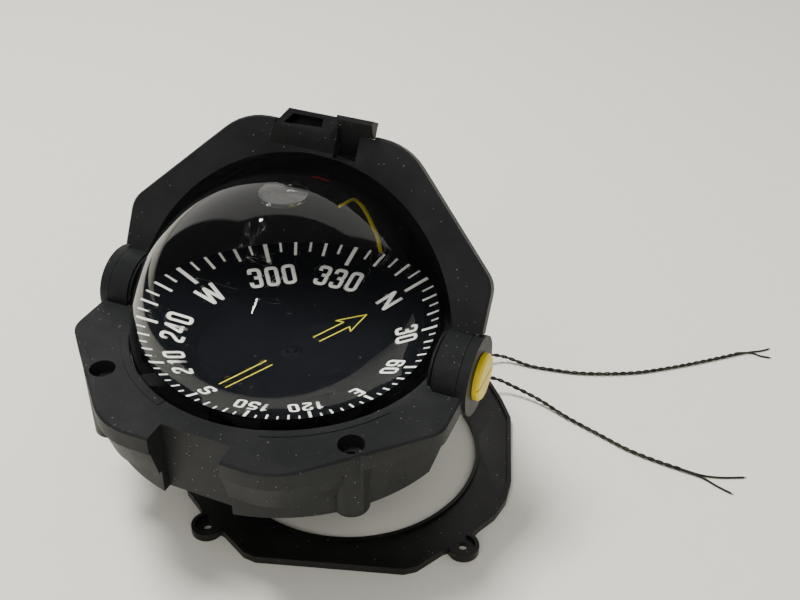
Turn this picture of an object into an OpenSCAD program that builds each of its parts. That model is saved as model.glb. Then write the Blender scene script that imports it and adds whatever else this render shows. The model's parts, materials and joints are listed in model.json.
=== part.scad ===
// Marine compass with a tilting hood, a liquid-filled dome and a gimballed card.
// The origin is on the table under the dome's axis, X runs along the hub axis and +Y points to the rear.

/* [Dome] */
// Height of the dome's centre above the table
centre_h = 75; // [74:0.5:80]
// Outer radius of the clear dome
dome_r = 70.5; // [70:0.1:71]
// Wall of the clear dome
dome_wall = 2; // [1.5:0.1:3]
// Thickness of the dome's flange
flange_t = 2.5; // [2:0.1:3]
// Width of the seat that the flange has under the bezel's lip
seat_w = 2.1; // [1.6:0.1:2.4]

/* [Bezel] */
// Height of the bezel's top face above the dome's centre
rim_z = 1.4; // [1:0.1:2]
// Gap between the dome and the bezel's opening
opening_gap = 0.6; // [0.3:0.1:0.8]
// Thickness of the lip over the dome's flange
lip_t = 2.9; // [2.2:0.1:3.2]
// Wall of the round ring that holds the dome and bowl
ring_wall = 2.5; // [2:0.1:2.6]
// Distance from the dome to the straight front and rear edges
front_step = 19.5; // [18:0.5:21]
// Distance from the dome to the slanted edges
diag_step = 20.5; // [20:0.5:22]
// Rounding between the front and slanted edges
front_corner = 30; // [20:1:34]
// Rounding between the side and slanted edges
side_corner = 12; // [8:1:16]
// Chamfer along the outer top edge of bezel and hood
edge_chamfer = 0.9; // [0.4:0.1:1.2]
// Thickness of the bezel's top plate
plate_t = 3; // [2:0.1:4]
// Wall of the band, the skirt and the round wall
skirt_t = 2.2; // [1.6:0.1:3]
// Height of the band along the bezel's edge
band_h = 8.4; // [7:0.2:10]
// Depth of the front skirt's foot under the bezel's top face
skirt_h = 22.4; // [18:0.2:26]
// How far the front skirt draws in towards its foot
skirt_draft = 4.4; // [3:0.2:5]
// Depth of the round wall's foot under the bezel's top face
wall_h = 33.9; // [30:0.1:36]
// How far the round wall stands behind the front edge
wall_step = 4.5; // [4:0.1:5.5]
// Distance of the round wall's ends in front of the axis
wall_end = 22; // [21:0.5:30]
// Width of the notch at the front
notch_w = 32; // [24:1:36]
// Depth of the notch at the front
notch_d = 9; // [7:0.5:10]

/* [Screw bosses] */
// Sideways place of each screw hole
boss_x = 57.9; // [56:0.1:59]
// Distance of the screw holes in front of the axis
boss_y = 60.5; // [59:0.1:62]
// Radius of each boss
boss_r = 7.6; // [7:0.1:8]
// Radius of the screw holes
screw_hole_r = 2.3; // [1.6:0.1:2.8]
// Radius of the recess for the screw head
head_r = 5.5; // [4.5:0.1:6]
// Depth of the recess for the screw head
head_depth = 6; // [4:0.5:10]

/* [Hub] */
// Height of the hood's axis above the dome's centre
hub_z = 0.7; // [0.5:0.1:1]
// Radius of the hub discs
hub_r = 17.8; // [17:0.1:19]
// Width of the hood's eyes, between each lug and ear
eye_w = 9.9; // [9:0.1:11]
// How far the ears stand out past the straight side edges
ear_proud = 1.5; // [1:0.1:2.5]
// Thickness of each outer ear
ear_t = 4.6; // [4:0.1:5]
// Thickness of each inner lug
lug_t = 3.3; // [3:0.1:3.4]
// Radius of the pivot bolts
bolt_r = 4; // [3:0.1:4.5]
// Wall of the bushes in the hood
bush_wall = 1.5; // [1:0.1:2]
// Radius of the friction washers
washer_r = 12; // [10:0.5:14]
// Thickness of the friction washers
washer_t = 1; // [0.6:0.1:1.5]
// Radius of the slotted caps
cap_r = 10.5; // [9:0.1:12]
// Thickness of the slotted caps
cap_t = 3; // [2.8:0.1:6]
// Turn of the cap's slot from upright
slot_turn = 90; // [0:1:180]
// Width of the cap's slot
slot_w = 1; // [0.6:0.1:2]
// Depth of the cap's slot
slot_d = 1.2; // [0.8:0.1:1.2]

/* [Hood] */
// Tilt of the hood from level, as it stands in the photograph
hood_tilt = 61.8; // [0:0.1:90]
// Gap between the bezel's round ring and the hood's inner edge
ring_clear = 1.6; // [1.5:0.1:2.2]
// Height of the hood's top face above the hub axis
hood_top = 5.4; // [4:0.1:6]
// Height of the hood's outer edge
hood_edge_h = 6.3; // [5:0.1:8]
// Thickness of the hood's top plate
hood_plate_t = 2.4; // [2:0.1:3]
// Wall of the hood
hood_wall = 2; // [1.6:0.1:2.4]
// Depth of the hood's inner wall under its top face
hood_wall_h = 17; // [14:0.5:18]
// Reach of the round shade under the hood's plate, in degrees
shade_turn = 74; // [60:1:75]
// Lowest point of the round shade below the hub axis
shade_drop = 69.4; // [66:0.1:69.8]

/* [Lamp] */
// Distance from the lamp block's left end to the middle
block_left = 23.2; // [20:0.5:24]
// Distance from the lamp block's right end to the middle
block_right = 24; // [22:0.5:26]
// Right side of the gap in the hood's plate
block_gap = 17.9; // [16:0.1:19]
// Distance from the lamp block's front face to the hood's rear edge
block_set = 3.6; // [3.2:0.1:4.2]
// How far the lamp block stands out behind the hood's rear edge
block_out = 6; // [4:0.5:8]
// Height of the lamp block above the hood's top face
block_rise = 3.6; // [2:0.2:5]
// Depth of the lamp block under the hood's top face
block_depth = 14; // [12:0.5:16]
// Depth of the lamp block's right end under the hood's top face
end_depth = 3; // [2:0.5:6]
// Radius of the bulb
bulb_r = 2; // [1.5:0.1:2.3]
// Height of the lens
lens_h = 6; // [5:0.1:7]
// Width of the lens
lens_w = 9; // [6:0.5:12]

/* [Bowl] */
// How much smaller the bowl's radius is than the dome's
bowl_step = 2.5; // [2:0.1:4]
// Wall of the bowl
bowl_wall = 2; // [1.6:0.1:3]
// Thickness of the bowl's flange
bowl_flange_t = 2.5; // [2:0.1:3]
// Thickness of the seal between dome and bowl
seal_t = 1.5; // [1:0.1:1.8]
// Thickness of the ring that clamps the bowl
clamp_t = 2.8; // [2:0.1:3]
// Depth of the bowl's flat floor below the dome's centre
floor_depth = 57; // [55:0.5:58]
// Radius of the foot
foot_r = 30.5; // [28:0.5:31]
// Wall of the foot
foot_wall = 2.5; // [2:0.1:3]
// Thickness of the foot's cover
cover_t = 2; // [1.5:0.1:2.5]
// Thickness of the foot's pad
pad_t = 1.5; // [1:0.1:2]
// Distance of the cover screws from the axis
cover_screw_ring = 24.5; // [23:0.1:25]
// Radius of the cover screws
cover_screw_r = 1.3; // [1:0.1:1.5]
// Radius of the diaphragm
diaphragm_r = 12; // [11:0.1:12.5]
// Thickness of the diaphragm
diaphragm_t = 0.8; // [0.6:0.1:1]
// Radius of the filling plug
plug_r = 3; // [2.5:0.1:3.5]
// Bearing of the filling plug around the axis
plug_turn = 135; // [120:1:150]
// Slope of the filling plug below level
plug_slope = 31; // [29:1:33]
// Radius of the wire gland
gland_r = 3.4; // [3:0.1:3.6]
// Bearing of the wire gland around the axis
gland_turn = 12; // [10:1:14]
// Slope of the wire gland below level
gland_slope = 50; // [48:1:52]
// How far the gland's end stands out of the bowl
gland_out = 10; // [9:0.5:11]

/* [Compensator] */
// Sideways place of the compensator shafts
shaft_off = 19; // [18:0.1:19.5]
// Radius of the compensator shafts
shaft_r = 1.8; // [1.5:0.1:2]
// Height of the compensator shafts above the table
shaft_z = 9.6; // [9:0.1:10.2]
// Length of the compensator magnets
corrector_l = 8; // [6:0.5:8.5]

/* [Card] */
// Radius of the card
card_r = 46; // [44:0.5:46.5]
// Radius of the card's flat middle
card_flat_r = 28; // [24:1:30]
// Depth of the card's middle below the dome's centre
card_depth = 9.6; // [9:0.1:10.5]
// Rise of the card from its middle to its edge
card_rise = 2.6; // [2:0.1:3.2]
// Thickness of the card
card_t = 0.8; // [0.6:0.1:1.2]
// Direction of the card's north mark, anticlockwise from +X
north_turn = 66.1; // [0:0.1:360]
// Outer radius of the card's float
float_r = 14; // [12:0.5:15]
// Height of the card's float
float_h = 6.6; // [5:0.1:7]
// Radius of the jewel cup
jewel_r = 3; // [2.5:0.1:3.5]
// Length of the card magnets
magnet_l = 20; // [16:1:24]
// Width of the card magnets
magnet_w = 4; // [3:0.2:4.4]

/* [Gimbal] */
// Depth of the gimbal axes below the dome's centre
gimbal_depth = 30; // [29:0.5:31]
// Inner radius of the gimbal ring
gimbal_r = 21; // [20:0.5:22]
// Wall of the gimbal ring
gimbal_wall = 3; // [2:0.2:3.4]
// Height of the gimbal ring
gimbal_h = 5; // [4.4:0.1:5.4]
// Radius of the gimbal pins
pin_r = 1.5; // [1.2:0.1:1.6]
// Radius of the pivot pin under the card
pivot_r = 0.8; // [0.6:0.1:1]
// Radius of the counterweight
weight_r = 11; // [8:0.5:13]
// Height of the counterweight
weight_h = 8; // [6:0.5:9]
// Radius of the lubber wire
lubber_r = 0.6; // [0.4:0.1:0.8]

/* [Mounting ring] */
// Sideways place of the loose ring on the table
ring_x = 24.5; // [22:0.5:25]
// Place of the loose ring behind the axis
ring_y = 11.2; // [8:0.2:12]
// Turn of the loose ring
ring_turn = 17.4; // [0:0.1:20]
// Radius of the loose ring's hole
ring_hole_r = 61.7; // [61.4:0.1:62.5]
// Thickness of the loose ring's plate
ring_plate_t = 2.6; // [2:0.1:3]
// Height of the loose ring's raised lips
ring_lip_h = 1.4; // [1:0.1:1.8]
// Width of the loose ring's raised lips
ring_lip_w = 1.8; // [1.2:0.1:2.4]
// Radius of the loose ring's ears
ring_ear_r = 7.2; // [6.5:0.1:7.5]
// Radius of the holes in the loose ring's ears
ring_ear_hole_r = 2.1; // [1.6:0.1:2.6]

/* [Leads] */
// Radius of each twisted pair
lead_r = 1.05; // [0.8:0.05:1.1]
// Radius of each single wire in a pair
strand_r = 0.52; // [0.4:0.02:0.55]

/* [Hidden] */
$fn = 96;

black = "#2b2b2c";
dark = "#38383a";
yellow = "#e8d21c";
steel = "#b4b6b8";
brass = "#b8964a";

// Clearances: what runs, what only sits, what sweeps past, how deep two forms of one piece
// run into each other, what is cut past a face, and what reaches past the whole part
run_gap = 0.05;
sit_gap = 0.1;
side_gap = 0.2;
sweep_gap = 0.5;
lap = 0.5;
cut = 1;
far = 2 * dome_r;

// Stack of the dome's flange, the seal, the bowl's flange and the clamp ring
opening_r = dome_r + opening_gap;
flange_r = opening_r + seat_w;
bore_r = flange_r + sit_gap;
ring_r = bore_r + ring_wall;
flange_top = rim_z - lip_t;
seal_top = flange_top - flange_t;
bowl_top = seal_top - seal_t;
clamp_top = bowl_top - bowl_flange_t;
ring_lap = 0.7;
ring_bottom = clamp_top - clamp_t - ring_lap;

// Stack of each hub along X
lug_gap = 0.7;
lug_in = opening_r + lug_gap;
lug_out = lug_in + lug_t;
eye_in = lug_out + side_gap;
eye_out = eye_in + eye_w;
ear_in = eye_out + side_gap;
ear_out = ear_in + ear_t;
bolt_tip = lug_out - 1;
bolt_hole_r = bolt_r + run_gap;
bush_r = bolt_r + bush_wall;
cap_seat = 1.5;

// Edges and walls of bezel and hood, and the lamp block's faces
front_edge = dome_r + front_step;
side_edge = ear_out - ear_proud;
diag_edge = dome_r + diag_step;
wall_r = front_edge - wall_step;
notch_y = -front_edge + notch_d + edge_chamfer;
hood_bore = ring_r + ring_clear;
block_front = front_edge - block_set;
block_rear = front_edge + block_out;
block_in = 1.2;
groove_w = 10.7;
lamp_z = hood_top - hood_plate_t - 3 - lens_h / 2;
socket_r = bulb_r + 0.6;
bulb_y = hood_bore + hood_wall + bulb_r + 0.4;

// Bowl, foot and what sits in it, from the table up
bowl_r = dome_r - bowl_step;
bowl_in = bowl_r - bowl_wall;
gland_end = bowl_r + gland_out;
floor_z = -floor_depth;
floor_t = 2;
floor_under = centre_h + floor_z - floor_t;
cover_z = pad_t;
foot_z = cover_z + cover_t;
cover_screw_turns = [45, 165, 285];
cover_screw_head_r = 2.8;
diaphragm_hole_r = 8;
diaphragm_screw_ring = 10.4;
diaphragm_screw_r = 0.7;
cap_plate_t = 2.4;
shaft_far = 13;
bearing_t = 3;

// Card and gimbal, below the dome's centre
card_top = -card_depth;
card_under = card_top - card_t;
gimbal_z = -gimbal_depth;
gimbal_out = gimbal_r + gimbal_wall;
arm_half = 3;
cradle_end = gimbal_r - 1.5;
hub_top = gimbal_z + 6;
weight_top = gimbal_z - 8;
pin_tip = card_under - 2.1;
lubber_route = [[0, 12, -27.5], [0, 12.5, -26], [0, 15, -24.5], [0, 24, -23], [0, 36, -21],
    [0, 45, -18], [0, 48, -13], [0, 48, -8.8], [0, 47.4, -4], [0, 46, 1.2], [0, 44.6, 6.5],
    [0, 43.1, 11.5], [0, 41.3, 16], [0, 40.2, 17.8], [0, 38.4, 19.2], [0, 33.6, 21.9]];

// Loose ring's outline, right half from the front to the rear
ring_half = [[32.5, -76.7], [38, -74.6], [49, -64], [57.5, -60], [64, -49.5], [71.5, -41],
    [76.5, -31], [78.9, -19], [78.9, 26.5], [74.5, 40], [68.7, 53.4], [62.6, 62.9],
    [52, 71.5], [38, 77.3]];
ring_ear_x = 57.5;
ring_ear_y = -60;

// Wires: each leaves the gland's end face, falls over the loose ring and lies on the table
pair_off = 1.3;
gland_dir = [cos(gland_slope) * cos(gland_turn), cos(gland_slope) * sin(gland_turn), -sin(gland_slope)];
gland_side = [-sin(gland_turn), cos(gland_turn), 0];
gland_face = gland_end * gland_dir + [0, 0, centre_h];
upper_start = gland_face + pair_off * gland_side;
lower_start = gland_face - pair_off * gland_side;
straight = 4;
upper_points = [[54.5, 18, 9], [57, 28, 7.3], [57, 41, 7.3], [56, 53, 9], [56, 65, 11.5],
    [57.5, 78, 12], [60.5, 91, 9.2], [65, 101, 6.5], [74, 107, 3.6], [88, 108, 1.2],
    [102, 110, 1.1], [115, 113, 1.1], [130, 119, 1.1], [145, 127, 1.1], [160, 138, 1.1],
    [174, 149.5, 1.1], [186, 160, 1.1], [196, 169, 1.1]];
lower_points = [[56, 13, 8.9], [61, 20, 7.3], [64, 30, 7.1], [65, 42, 7.3], [66, 53, 9],
    [68, 64, 11], [71, 73, 11.5], [76, 80, 9.4], [87, 82, 5.6], [102, 80, 3],
    [118, 74.5, 1.4], [136.5, 68.5, 1.1], [152, 63.5, 1.1], [168, 61, 1.1], [183, 60, 1.1]];
tail_z = 0.6;
upper_tails = [[[196, 169, 1.1], [200, 171.5, 0.8], [205, 175, tail_z], [209, 179, tail_z]],
    [[196, 169, 1.1], [200, 170.5, 0.8], [205, 170, tail_z], [210, 170.5, tail_z]]];
lower_tails = [[[183, 60, 1.1], [189, 60.5, 0.8], [198, 63, tail_z], [208, 67.5, tail_z]],
    [[183, 60, 1.1], [189, 59, 0.8], [197, 56, tail_z], [204, 54, tail_z]]];
upper_route = concat([upper_start, upper_start + straight * gland_dir], upper_points);
lower_route = concat([lower_start, lower_start + straight * gland_dir], lower_points);

function unit(v) = v / norm(v);

// Points of an arc about c
function arc(c, r, from, to, steps) =
    [for (i = [0:steps]) let (a = from + (to - from) * i / steps) c + r * [cos(a), sin(a)]];

// A closed outline moved inwards by d, its points running anticlockwise
function inset(p, d) = [for (i = [0:len(p) - 1])
    let (n = len(p), u = unit(p[i] - p[(i + n - 1) % n]), v = unit(p[(i + 1) % n] - p[i]),
        a = [-u[1], u[0]], b = [-v[1], v[0]])
    p[i] + d * (a + b) / (1 + a * b)];

// The lobed outline's quarter with +x and +y: the middles of its two roundings, and its points
front_c = [sqrt(2) * (diag_edge - front_corner) - (front_edge - front_corner), front_edge - front_corner];
side_c = [side_edge - side_corner, sqrt(2) * (diag_edge - side_corner) - (side_edge - side_corner)];
quarter = concat(arc(side_c, side_corner, 0, 45, 4), arc(front_c, front_corner, 45, 90, 6));
rear_half = concat(quarter, [for (i = [len(quarter) - 1:-1:0]) [-quarter[i][0], quarter[i][1]]]);
lobes = concat(rear_half, [for (p = rear_half) [-p[0], -p[1]]]);

// Catmull-Rom point between p[i] and p[i + 1]
function between(p, i, t) =
    let (n = len(p), a = p[max(i - 1, 0)], b = p[i], c = p[min(i + 1, n - 1)], d = p[min(i + 2, n - 1)])
    0.5 * (2 * b + (c - a) * t + (2 * a - 5 * b + 4 * c - d) * t * t
        + (3 * b - a - 3 * c + d) * t * t * t);
// A route with steps rings on each of its stretches
function smooth(p, steps) = concat(
    [for (i = [0:len(p) - 2]) for (k = [0:steps - 1]) between(p, i, k / steps)], [p[len(p) - 1]]);
function heading(p, i) = unit(p[min(i + 1, len(p) - 1)] - p[max(i - 1, 0)]);

// A tube swept along a path, whose heading is never along up
module tube(path, r, sides = 8, up = [0, 0, 1]) {
    n = len(path);
    rings = [for (i = [0:n - 1]) let (t = heading(path, i), s = unit(cross(t, up)), u = cross(s, t))
        for (k = [0:sides - 1]) path[i] + r * (cos(360 * k / sides) * s + sin(360 * k / sides) * u)];
    walls = [for (i = [0:n - 2]) for (k = [0:sides - 1])
        let (a = i * sides + k, b = i * sides + (k + 1) % sides)
        for (f = [[a, b, b + sides], [a, b + sides, a + sides]]) f];
    ends = [[for (k = [sides - 1:-1:0]) k], [for (k = [0:sides - 1]) (n - 1) * sides + k]];
    polyhedron(rings, concat(walls, ends));
}

// Children move up to the dome's centre
module at_centre() {
    translate([0, 0, centre_h]) children();
}

// Children turn so that their +Z points along a sloping bearing from the centre
module outward(turn, slope) {
    rotate([0, 90 + slope, turn]) children();
}

// A cylinder along X from x0 to x1
module bar_x(x0, x1, r) {
    translate([x0, 0, 0]) rotate([0, 90, 0]) cylinder(h = x1 - x0, r = r);
}

// A cylinder along Y from y0 to y1
module bar_y(y0, y1, r) {
    translate([0, y0, 0]) rotate([-90, 0, 0]) cylinder(h = y1 - y0, r = r);
}

// A box between two corners
module block(a, b) {
    translate(a) cube(b - a);
}

// Children and their copy on the other side of the fore-and-aft plane
module both_sides() {
    children();
    mirror([1, 0, 0]) children();
}

// The lobed outline as a slab with its top edge chamfered
module lobed_slab(z0, z1) {
    translate([0, 0, z0]) linear_extrude(z1 - z0 - edge_chamfer) polygon(lobes);
    translate([0, 0, z1 - edge_chamfer])
        linear_extrude(edge_chamfer, scale = (front_edge - edge_chamfer) / front_edge) polygon(lobes);
}

// The lobed outline as a wall of thickness t
module lobed_wall(z0, z1, t) {
    translate([0, 0, z0]) linear_extrude(z1 - z0) difference() {
        polygon(lobes);
        polygon(inset(lobes, t));
    }
}

// Children's outline drawn in towards the front skirt's foot, up into the band
module drawn_in() {
    foot = (front_edge - skirt_draft) / front_edge;
    top = (front_edge - lap) / front_edge;
    translate([0, 0, rim_z - skirt_h]) linear_extrude(skirt_h - band_h + lap, scale = top / foot)
        children();
}

// Front skirt between the bosses, with the notch's side walls under the band
module front_skirt() {
    foot = [for (p = lobes) p * (front_edge - skirt_draft) / front_edge];
    intersection() {
        drawn_in() difference() {
            polygon(foot);
            polygon(inset(foot, skirt_t));
        }
        block([-boss_x, -far, -far], [boss_x, -boss_y, far]);
    }
    intersection() {
        drawn_in() polygon(foot);
        both_sides() block([notch_w / 2, -far, -far], [notch_w / 2 + skirt_t, notch_y + skirt_t, far]);
    }
}

// Round wall under the plate, its lower ends cut on a slope
module round_wall() {
    foot = rim_z - wall_h;
    end_run = 8;
    end_rise = 10.5;
    intersection() {
        translate([0, 0, foot]) difference() {
            cylinder(h = wall_h - lap, r = wall_r);
            translate([0, 0, -cut]) cylinder(h = wall_h + cut, r = wall_r - skirt_t);
        }
        translate([-far, 0, 0]) rotate([90, 0, 90]) linear_extrude(2 * far)
            polygon([[-far, foot - cut], [-wall_end - end_run, foot - cut], [-wall_end - end_run, foot],
                [-wall_end, foot + end_rise], [-wall_end, rim_z], [-far, rim_z]]);
    }
}

// Front half: plate, band, skirt, notch walls, round wall and screw bosses
module bezel_front() {
    plate_under = rim_z - plate_t;
    wall_y = sqrt(wall_r * wall_r - pow(notch_w / 2 + skirt_t, 2));
    difference() {
        union() {
            intersection() {
                union() {
                    lobed_slab(plate_under, rim_z);
                    lobed_wall(rim_z - band_h, plate_under + sit_gap, skirt_t);
                }
                block([-far, -far, -far], [far, 0, far]);
            }
            front_skirt();
            round_wall();
            both_sides() translate([boss_x, -boss_y, rim_z - wall_h + 1])
                cylinder(h = wall_h - 1 - lap, r = boss_r);
            block([-notch_w / 2 - skirt_t, notch_y, rim_z - wall_h],
                [notch_w / 2 + skirt_t, notch_y + skirt_t + lap, rim_z - sit_gap]);
            both_sides() {
                block([notch_w / 2, -wall_y + lap, rim_z - wall_h],
                    [notch_w / 2 + skirt_t, notch_y + skirt_t, rim_z - skirt_h + lap]);
                block([notch_w / 2, -front_edge + lap, rim_z - band_h],
                    [notch_w / 2 + skirt_t, notch_y + skirt_t, plate_under + lap]);
            }
        }
        block([-notch_w / 2, -far, -far], [notch_w / 2, notch_y, far]);
        both_sides() translate([boss_x, -boss_y, 0]) {
            translate([0, 0, rim_z - head_depth]) cylinder(h = head_depth + cut, r = head_r);
            translate([0, 0, rim_z - wall_h]) cylinder(h = wall_h, r = screw_hole_r);
        }
    }
}

// Hub lug with its two steps beside the dome, and the outer ear
module hub_discs() {
    step = lug_t / 3;
    translate([0, 0, hub_z]) {
        bar_x(lug_in, lug_in + step, hub_r - 2.4);
        bar_x(lug_in + step, lug_in + 2 * step, hub_r - 3.4);
        bar_x(lug_in + 2 * step, lug_out, hub_r - 0.8);
        bar_x(ear_in, ear_out, hub_r);
    }
}

module bezel_ring() {
    color(black) at_centre() difference() {
        union() {
            translate([0, 0, ring_bottom]) cylinder(h = rim_z - ring_bottom, r = ring_r);
            bezel_front();
            both_sides() hub_discs();
        }
        translate([0, 0, flange_top - cut]) cylinder(h = far, r = opening_r);
        translate([0, 0, ring_bottom - cut]) cylinder(h = flange_top - ring_bottom + cut, r = bore_r);
        both_sides() translate([0, 0, hub_z]) {
            bar_x(lug_out, ear_in, hub_r + sweep_gap);
            bar_x(ear_in - cut, ear_in + washer_t, washer_r + sit_gap);
            bar_x(bolt_tip - sit_gap, ear_out + cut, bolt_hole_r);
        }
    }
}

module bowl_clamp_ring() {
    color(dark) at_centre() translate([0, 0, clamp_top - clamp_t]) difference() {
        cylinder(h = clamp_t, r = flange_r);
        translate([0, 0, -cut]) cylinder(h = clamp_t + 2 * cut, r = bowl_r + 0.3);
    }
}

module dome() {
    color("#cfd4d6", 0.3) at_centre() rotate_extrude() {
        intersection() {
            difference() {
                circle(dome_r);
                circle(dome_r - dome_wall);
            }
            square(dome_r);
        }
        translate([dome_r - dome_wall, seal_top]) square([dome_wall, -seal_top]);
        translate([dome_r - dome_wall, seal_top]) square([flange_r - dome_r + dome_wall, flange_t]);
    }
}

module dome_seal() {
    color("#1c1c1c") at_centre() translate([0, 0, bowl_top]) difference() {
        cylinder(h = seal_t, r = flange_r - 0.4);
        translate([0, 0, -cut]) cylinder(h = seal_t + 2 * cut, r = bowl_r + 0.8);
    }
}

module bowl() {
    arm_end = gimbal_out + 1.5;
    color(dark) difference() {
        union() {
            at_centre() rotate_extrude() {
                intersection() {
                    difference() {
                        circle(bowl_r);
                        circle(bowl_in);
                    }
                    translate([0, floor_z - floor_t]) square([bowl_r, bowl_top - floor_z + floor_t]);
                }
                translate([0, floor_z - floor_t])
                    square([sqrt(bowl_in * bowl_in - floor_z * floor_z) + lap / 2, floor_t]);
                translate([bowl_in, clamp_top]) square([flange_r - bowl_in, bowl_flange_t]);
            }
            at_centre() intersection() {
                sphere(bowl_r - bowl_wall / 2);
                both_sides() block([arm_end, -arm_half, gimbal_z - arm_half],
                    [bowl_r, arm_half, gimbal_z + 2]);
            }
            translate([0, 0, foot_z]) difference() {
                cylinder(h = floor_under - foot_z + 0.5, r = foot_r);
                translate([0, 0, -cut]) cylinder(h = floor_under - foot_z + cut, r = foot_r - foot_wall);
            }
            for (a = cover_screw_turns) rotate(a) translate([cover_screw_ring, 0, foot_z])
                cylinder(h = floor_under - foot_z + 0.5, r = 3);
            shaft_bearing();
            mirror([1, -1, 0]) shaft_bearing();
            at_centre() outward(gland_turn, gland_slope)
                translate([0, 0, bowl_in + lap]) cylinder(h = 4, r = gland_r + 2);
            at_centre() outward(plug_turn, plug_slope)
                translate([0, 0, bowl_in + lap]) cylinder(h = 4.5, r = plug_r + 2.5);
        }
        at_centre() both_sides() translate([0, 0, gimbal_z]) bar_x(arm_end - cut, arm_end + 7, pin_r);
        for (a = cover_screw_turns) rotate(a) translate([cover_screw_ring, 0, foot_z - cut])
            cylinder(h = 8, r = cover_screw_r);
        translate([0, 0, floor_under - cut]) cylinder(h = floor_t + 2 * cut, r = diaphragm_hole_r);
        for (a = cover_screw_turns) rotate(a) translate([diaphragm_screw_ring, 0, floor_under - cut])
            cylinder(h = cut + 1.5, r = diaphragm_screw_r);
        shaft_bore();
        mirror([1, -1, 0]) shaft_bore();
        at_centre() outward(gland_turn, gland_slope)
            translate([0, 0, bowl_in - cut]) cylinder(h = gland_out, r = gland_r);
        at_centre() outward(plug_turn, plug_slope)
            translate([0, 0, bowl_in - cut]) cylinder(h = gland_out, r = plug_r);
    }
}

// Far bearing of a compensator shaft that runs along Y, under the bowl's floor
module shaft_bearing() {
    block([shaft_off - 3, shaft_far - bearing_t, shaft_z - 3],
        [shaft_off + 3, shaft_far, floor_under + 0.5]);
}

// Room for a compensator shaft that runs along Y
module shaft_bore() {
    translate([shaft_off, 0, shaft_z]) bar_y(-foot_r, shaft_far + cut, shaft_r + run_gap);
}

module wire_gland() {
    color("#1f1f20") at_centre() outward(gland_turn, gland_slope) {
        translate([0, 0, bowl_in + 0.6]) cylinder(h = gland_end - bowl_in - 0.6, r = gland_r);
        translate([0, 0, bowl_in + 4.5]) cylinder(h = 3.5, r = gland_r + 2, $fn = 6);
    }
}

module filling_plug() {
    color(brass) at_centre() outward(plug_turn, plug_slope) {
        translate([0, 0, bowl_in + 0.6]) cylinder(h = 6, r = plug_r);
        translate([0, 0, bowl_in + 6]) difference() {
            cylinder(h = 3, r = plug_r + 1.8);
            translate([-0.6, -plug_r - 3, 1.6]) cube([1.2, 2 * plug_r + 6, 3]);
        }
    }
}

module plug_washer() {
    color("#c8472f") at_centre() outward(plug_turn, plug_slope)
        translate([0, 0, bowl_in + 5]) difference() {
            cylinder(h = 1, r = plug_r + 1.6);
            translate([0, 0, -cut]) cylinder(h = 3, r = plug_r);
        }
}

module diaphragm() {
    color("#222222") translate([0, 0, floor_under - diaphragm_t]) difference() {
        union() {
            cylinder(h = diaphragm_t, r = diaphragm_r);
            translate([0, 0, diaphragm_t]) difference() {
                cylinder(h = 0.9, r = diaphragm_hole_r - 1);
                translate([0, 0, -cut]) cylinder(h = 3, r = diaphragm_hole_r - 2.4);
            }
        }
        for (a = cover_screw_turns) rotate(a) translate([diaphragm_screw_ring, 0, -cut])
            cylinder(h = 3, r = diaphragm_screw_r);
    }
}

module diaphragm_cap() {
    color(dark) translate([0, 0, floor_under - diaphragm_t - cap_plate_t]) difference() {
        cylinder(h = cap_plate_t, r = diaphragm_r);
        translate([0, 0, 1]) cylinder(h = 3, r = diaphragm_hole_r);
        translate([0, 0, -cut]) cylinder(h = 3, r = 1.2);
        for (a = cover_screw_turns) rotate(a) translate([diaphragm_screw_ring, 0, -cut])
            cylinder(h = 5, r = diaphragm_screw_r);
    }
}

module diaphragm_screws() {
    head_z = floor_under - diaphragm_t - cap_plate_t;
    color(steel) for (a = cover_screw_turns) rotate(a) translate([diaphragm_screw_ring, 0, 0]) {
        translate([0, 0, head_z]) cylinder(h = floor_under + 1.4 - head_z, r = diaphragm_screw_r);
        translate([0, 0, head_z - 0.8]) cylinder(h = 0.8, r = 1.4);
    }
}

module foot_cover() {
    color(dark) translate([0, 0, cover_z]) difference() {
        cylinder(h = cover_t, r = foot_r);
        for (a = cover_screw_turns) rotate(a) translate([cover_screw_ring, 0, -cut])
            cylinder(h = cover_t + 2 * cut, r = cover_screw_r);
    }
}

module foot_screws() {
    color(steel) for (a = cover_screw_turns) rotate(a) translate([cover_screw_ring, 0, 0]) {
        translate([0, 0, cover_z]) cylinder(h = cover_t + 6, r = cover_screw_r);
        translate([0, 0, cover_z - 1]) cylinder(h = 1, r = cover_screw_head_r);
    }
}

module foot_pad() {
    color("#1a1a1a") difference() {
        cylinder(h = pad_t, r = foot_r - 0.3);
        for (a = cover_screw_turns) rotate(a) translate([cover_screw_ring, 0, -cut])
            cylinder(h = pad_t + 2 * cut, r = cover_screw_head_r + 0.3);
    }
}

// Shaft along Y with a slotted head outside the foot
module compensator_shaft() {
    head_y = -sqrt(foot_r * foot_r - shaft_off * shaft_off) - 1.6;
    translate([shaft_off, 0, shaft_z]) difference() {
        bar_y(head_y, shaft_far, shaft_r);
        block([-shaft_r - cut, head_y - cut, -0.4], [shaft_r + cut, head_y + 0.9, 0.4]);
    }
}

// Bar magnet across the same shaft
module compensator_magnet() {
    translate([shaft_off, -6, shaft_z]) difference() {
        block([-3, -2.5, -corrector_l / 2], [3, 2.5, corrector_l / 2]);
        bar_y(-5, 5, shaft_r);
    }
}

module compensator_shaft_a() {
    color(brass) compensator_shaft();
}

module compensator_magnet_a() {
    color("#6f7276") compensator_magnet();
}

module compensator_shaft_b() {
    color(brass) mirror([1, -1, 0]) compensator_shaft();
}

module compensator_magnet_b() {
    color("#6f7276") mirror([1, -1, 0]) compensator_magnet();
}

module gimbal_pins_outer() {
    color(steel) at_centre() both_sides() translate([0, 0, gimbal_z])
        bar_x(gimbal_r + side_gap, gimbal_out + 8, pin_r);
}

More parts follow.
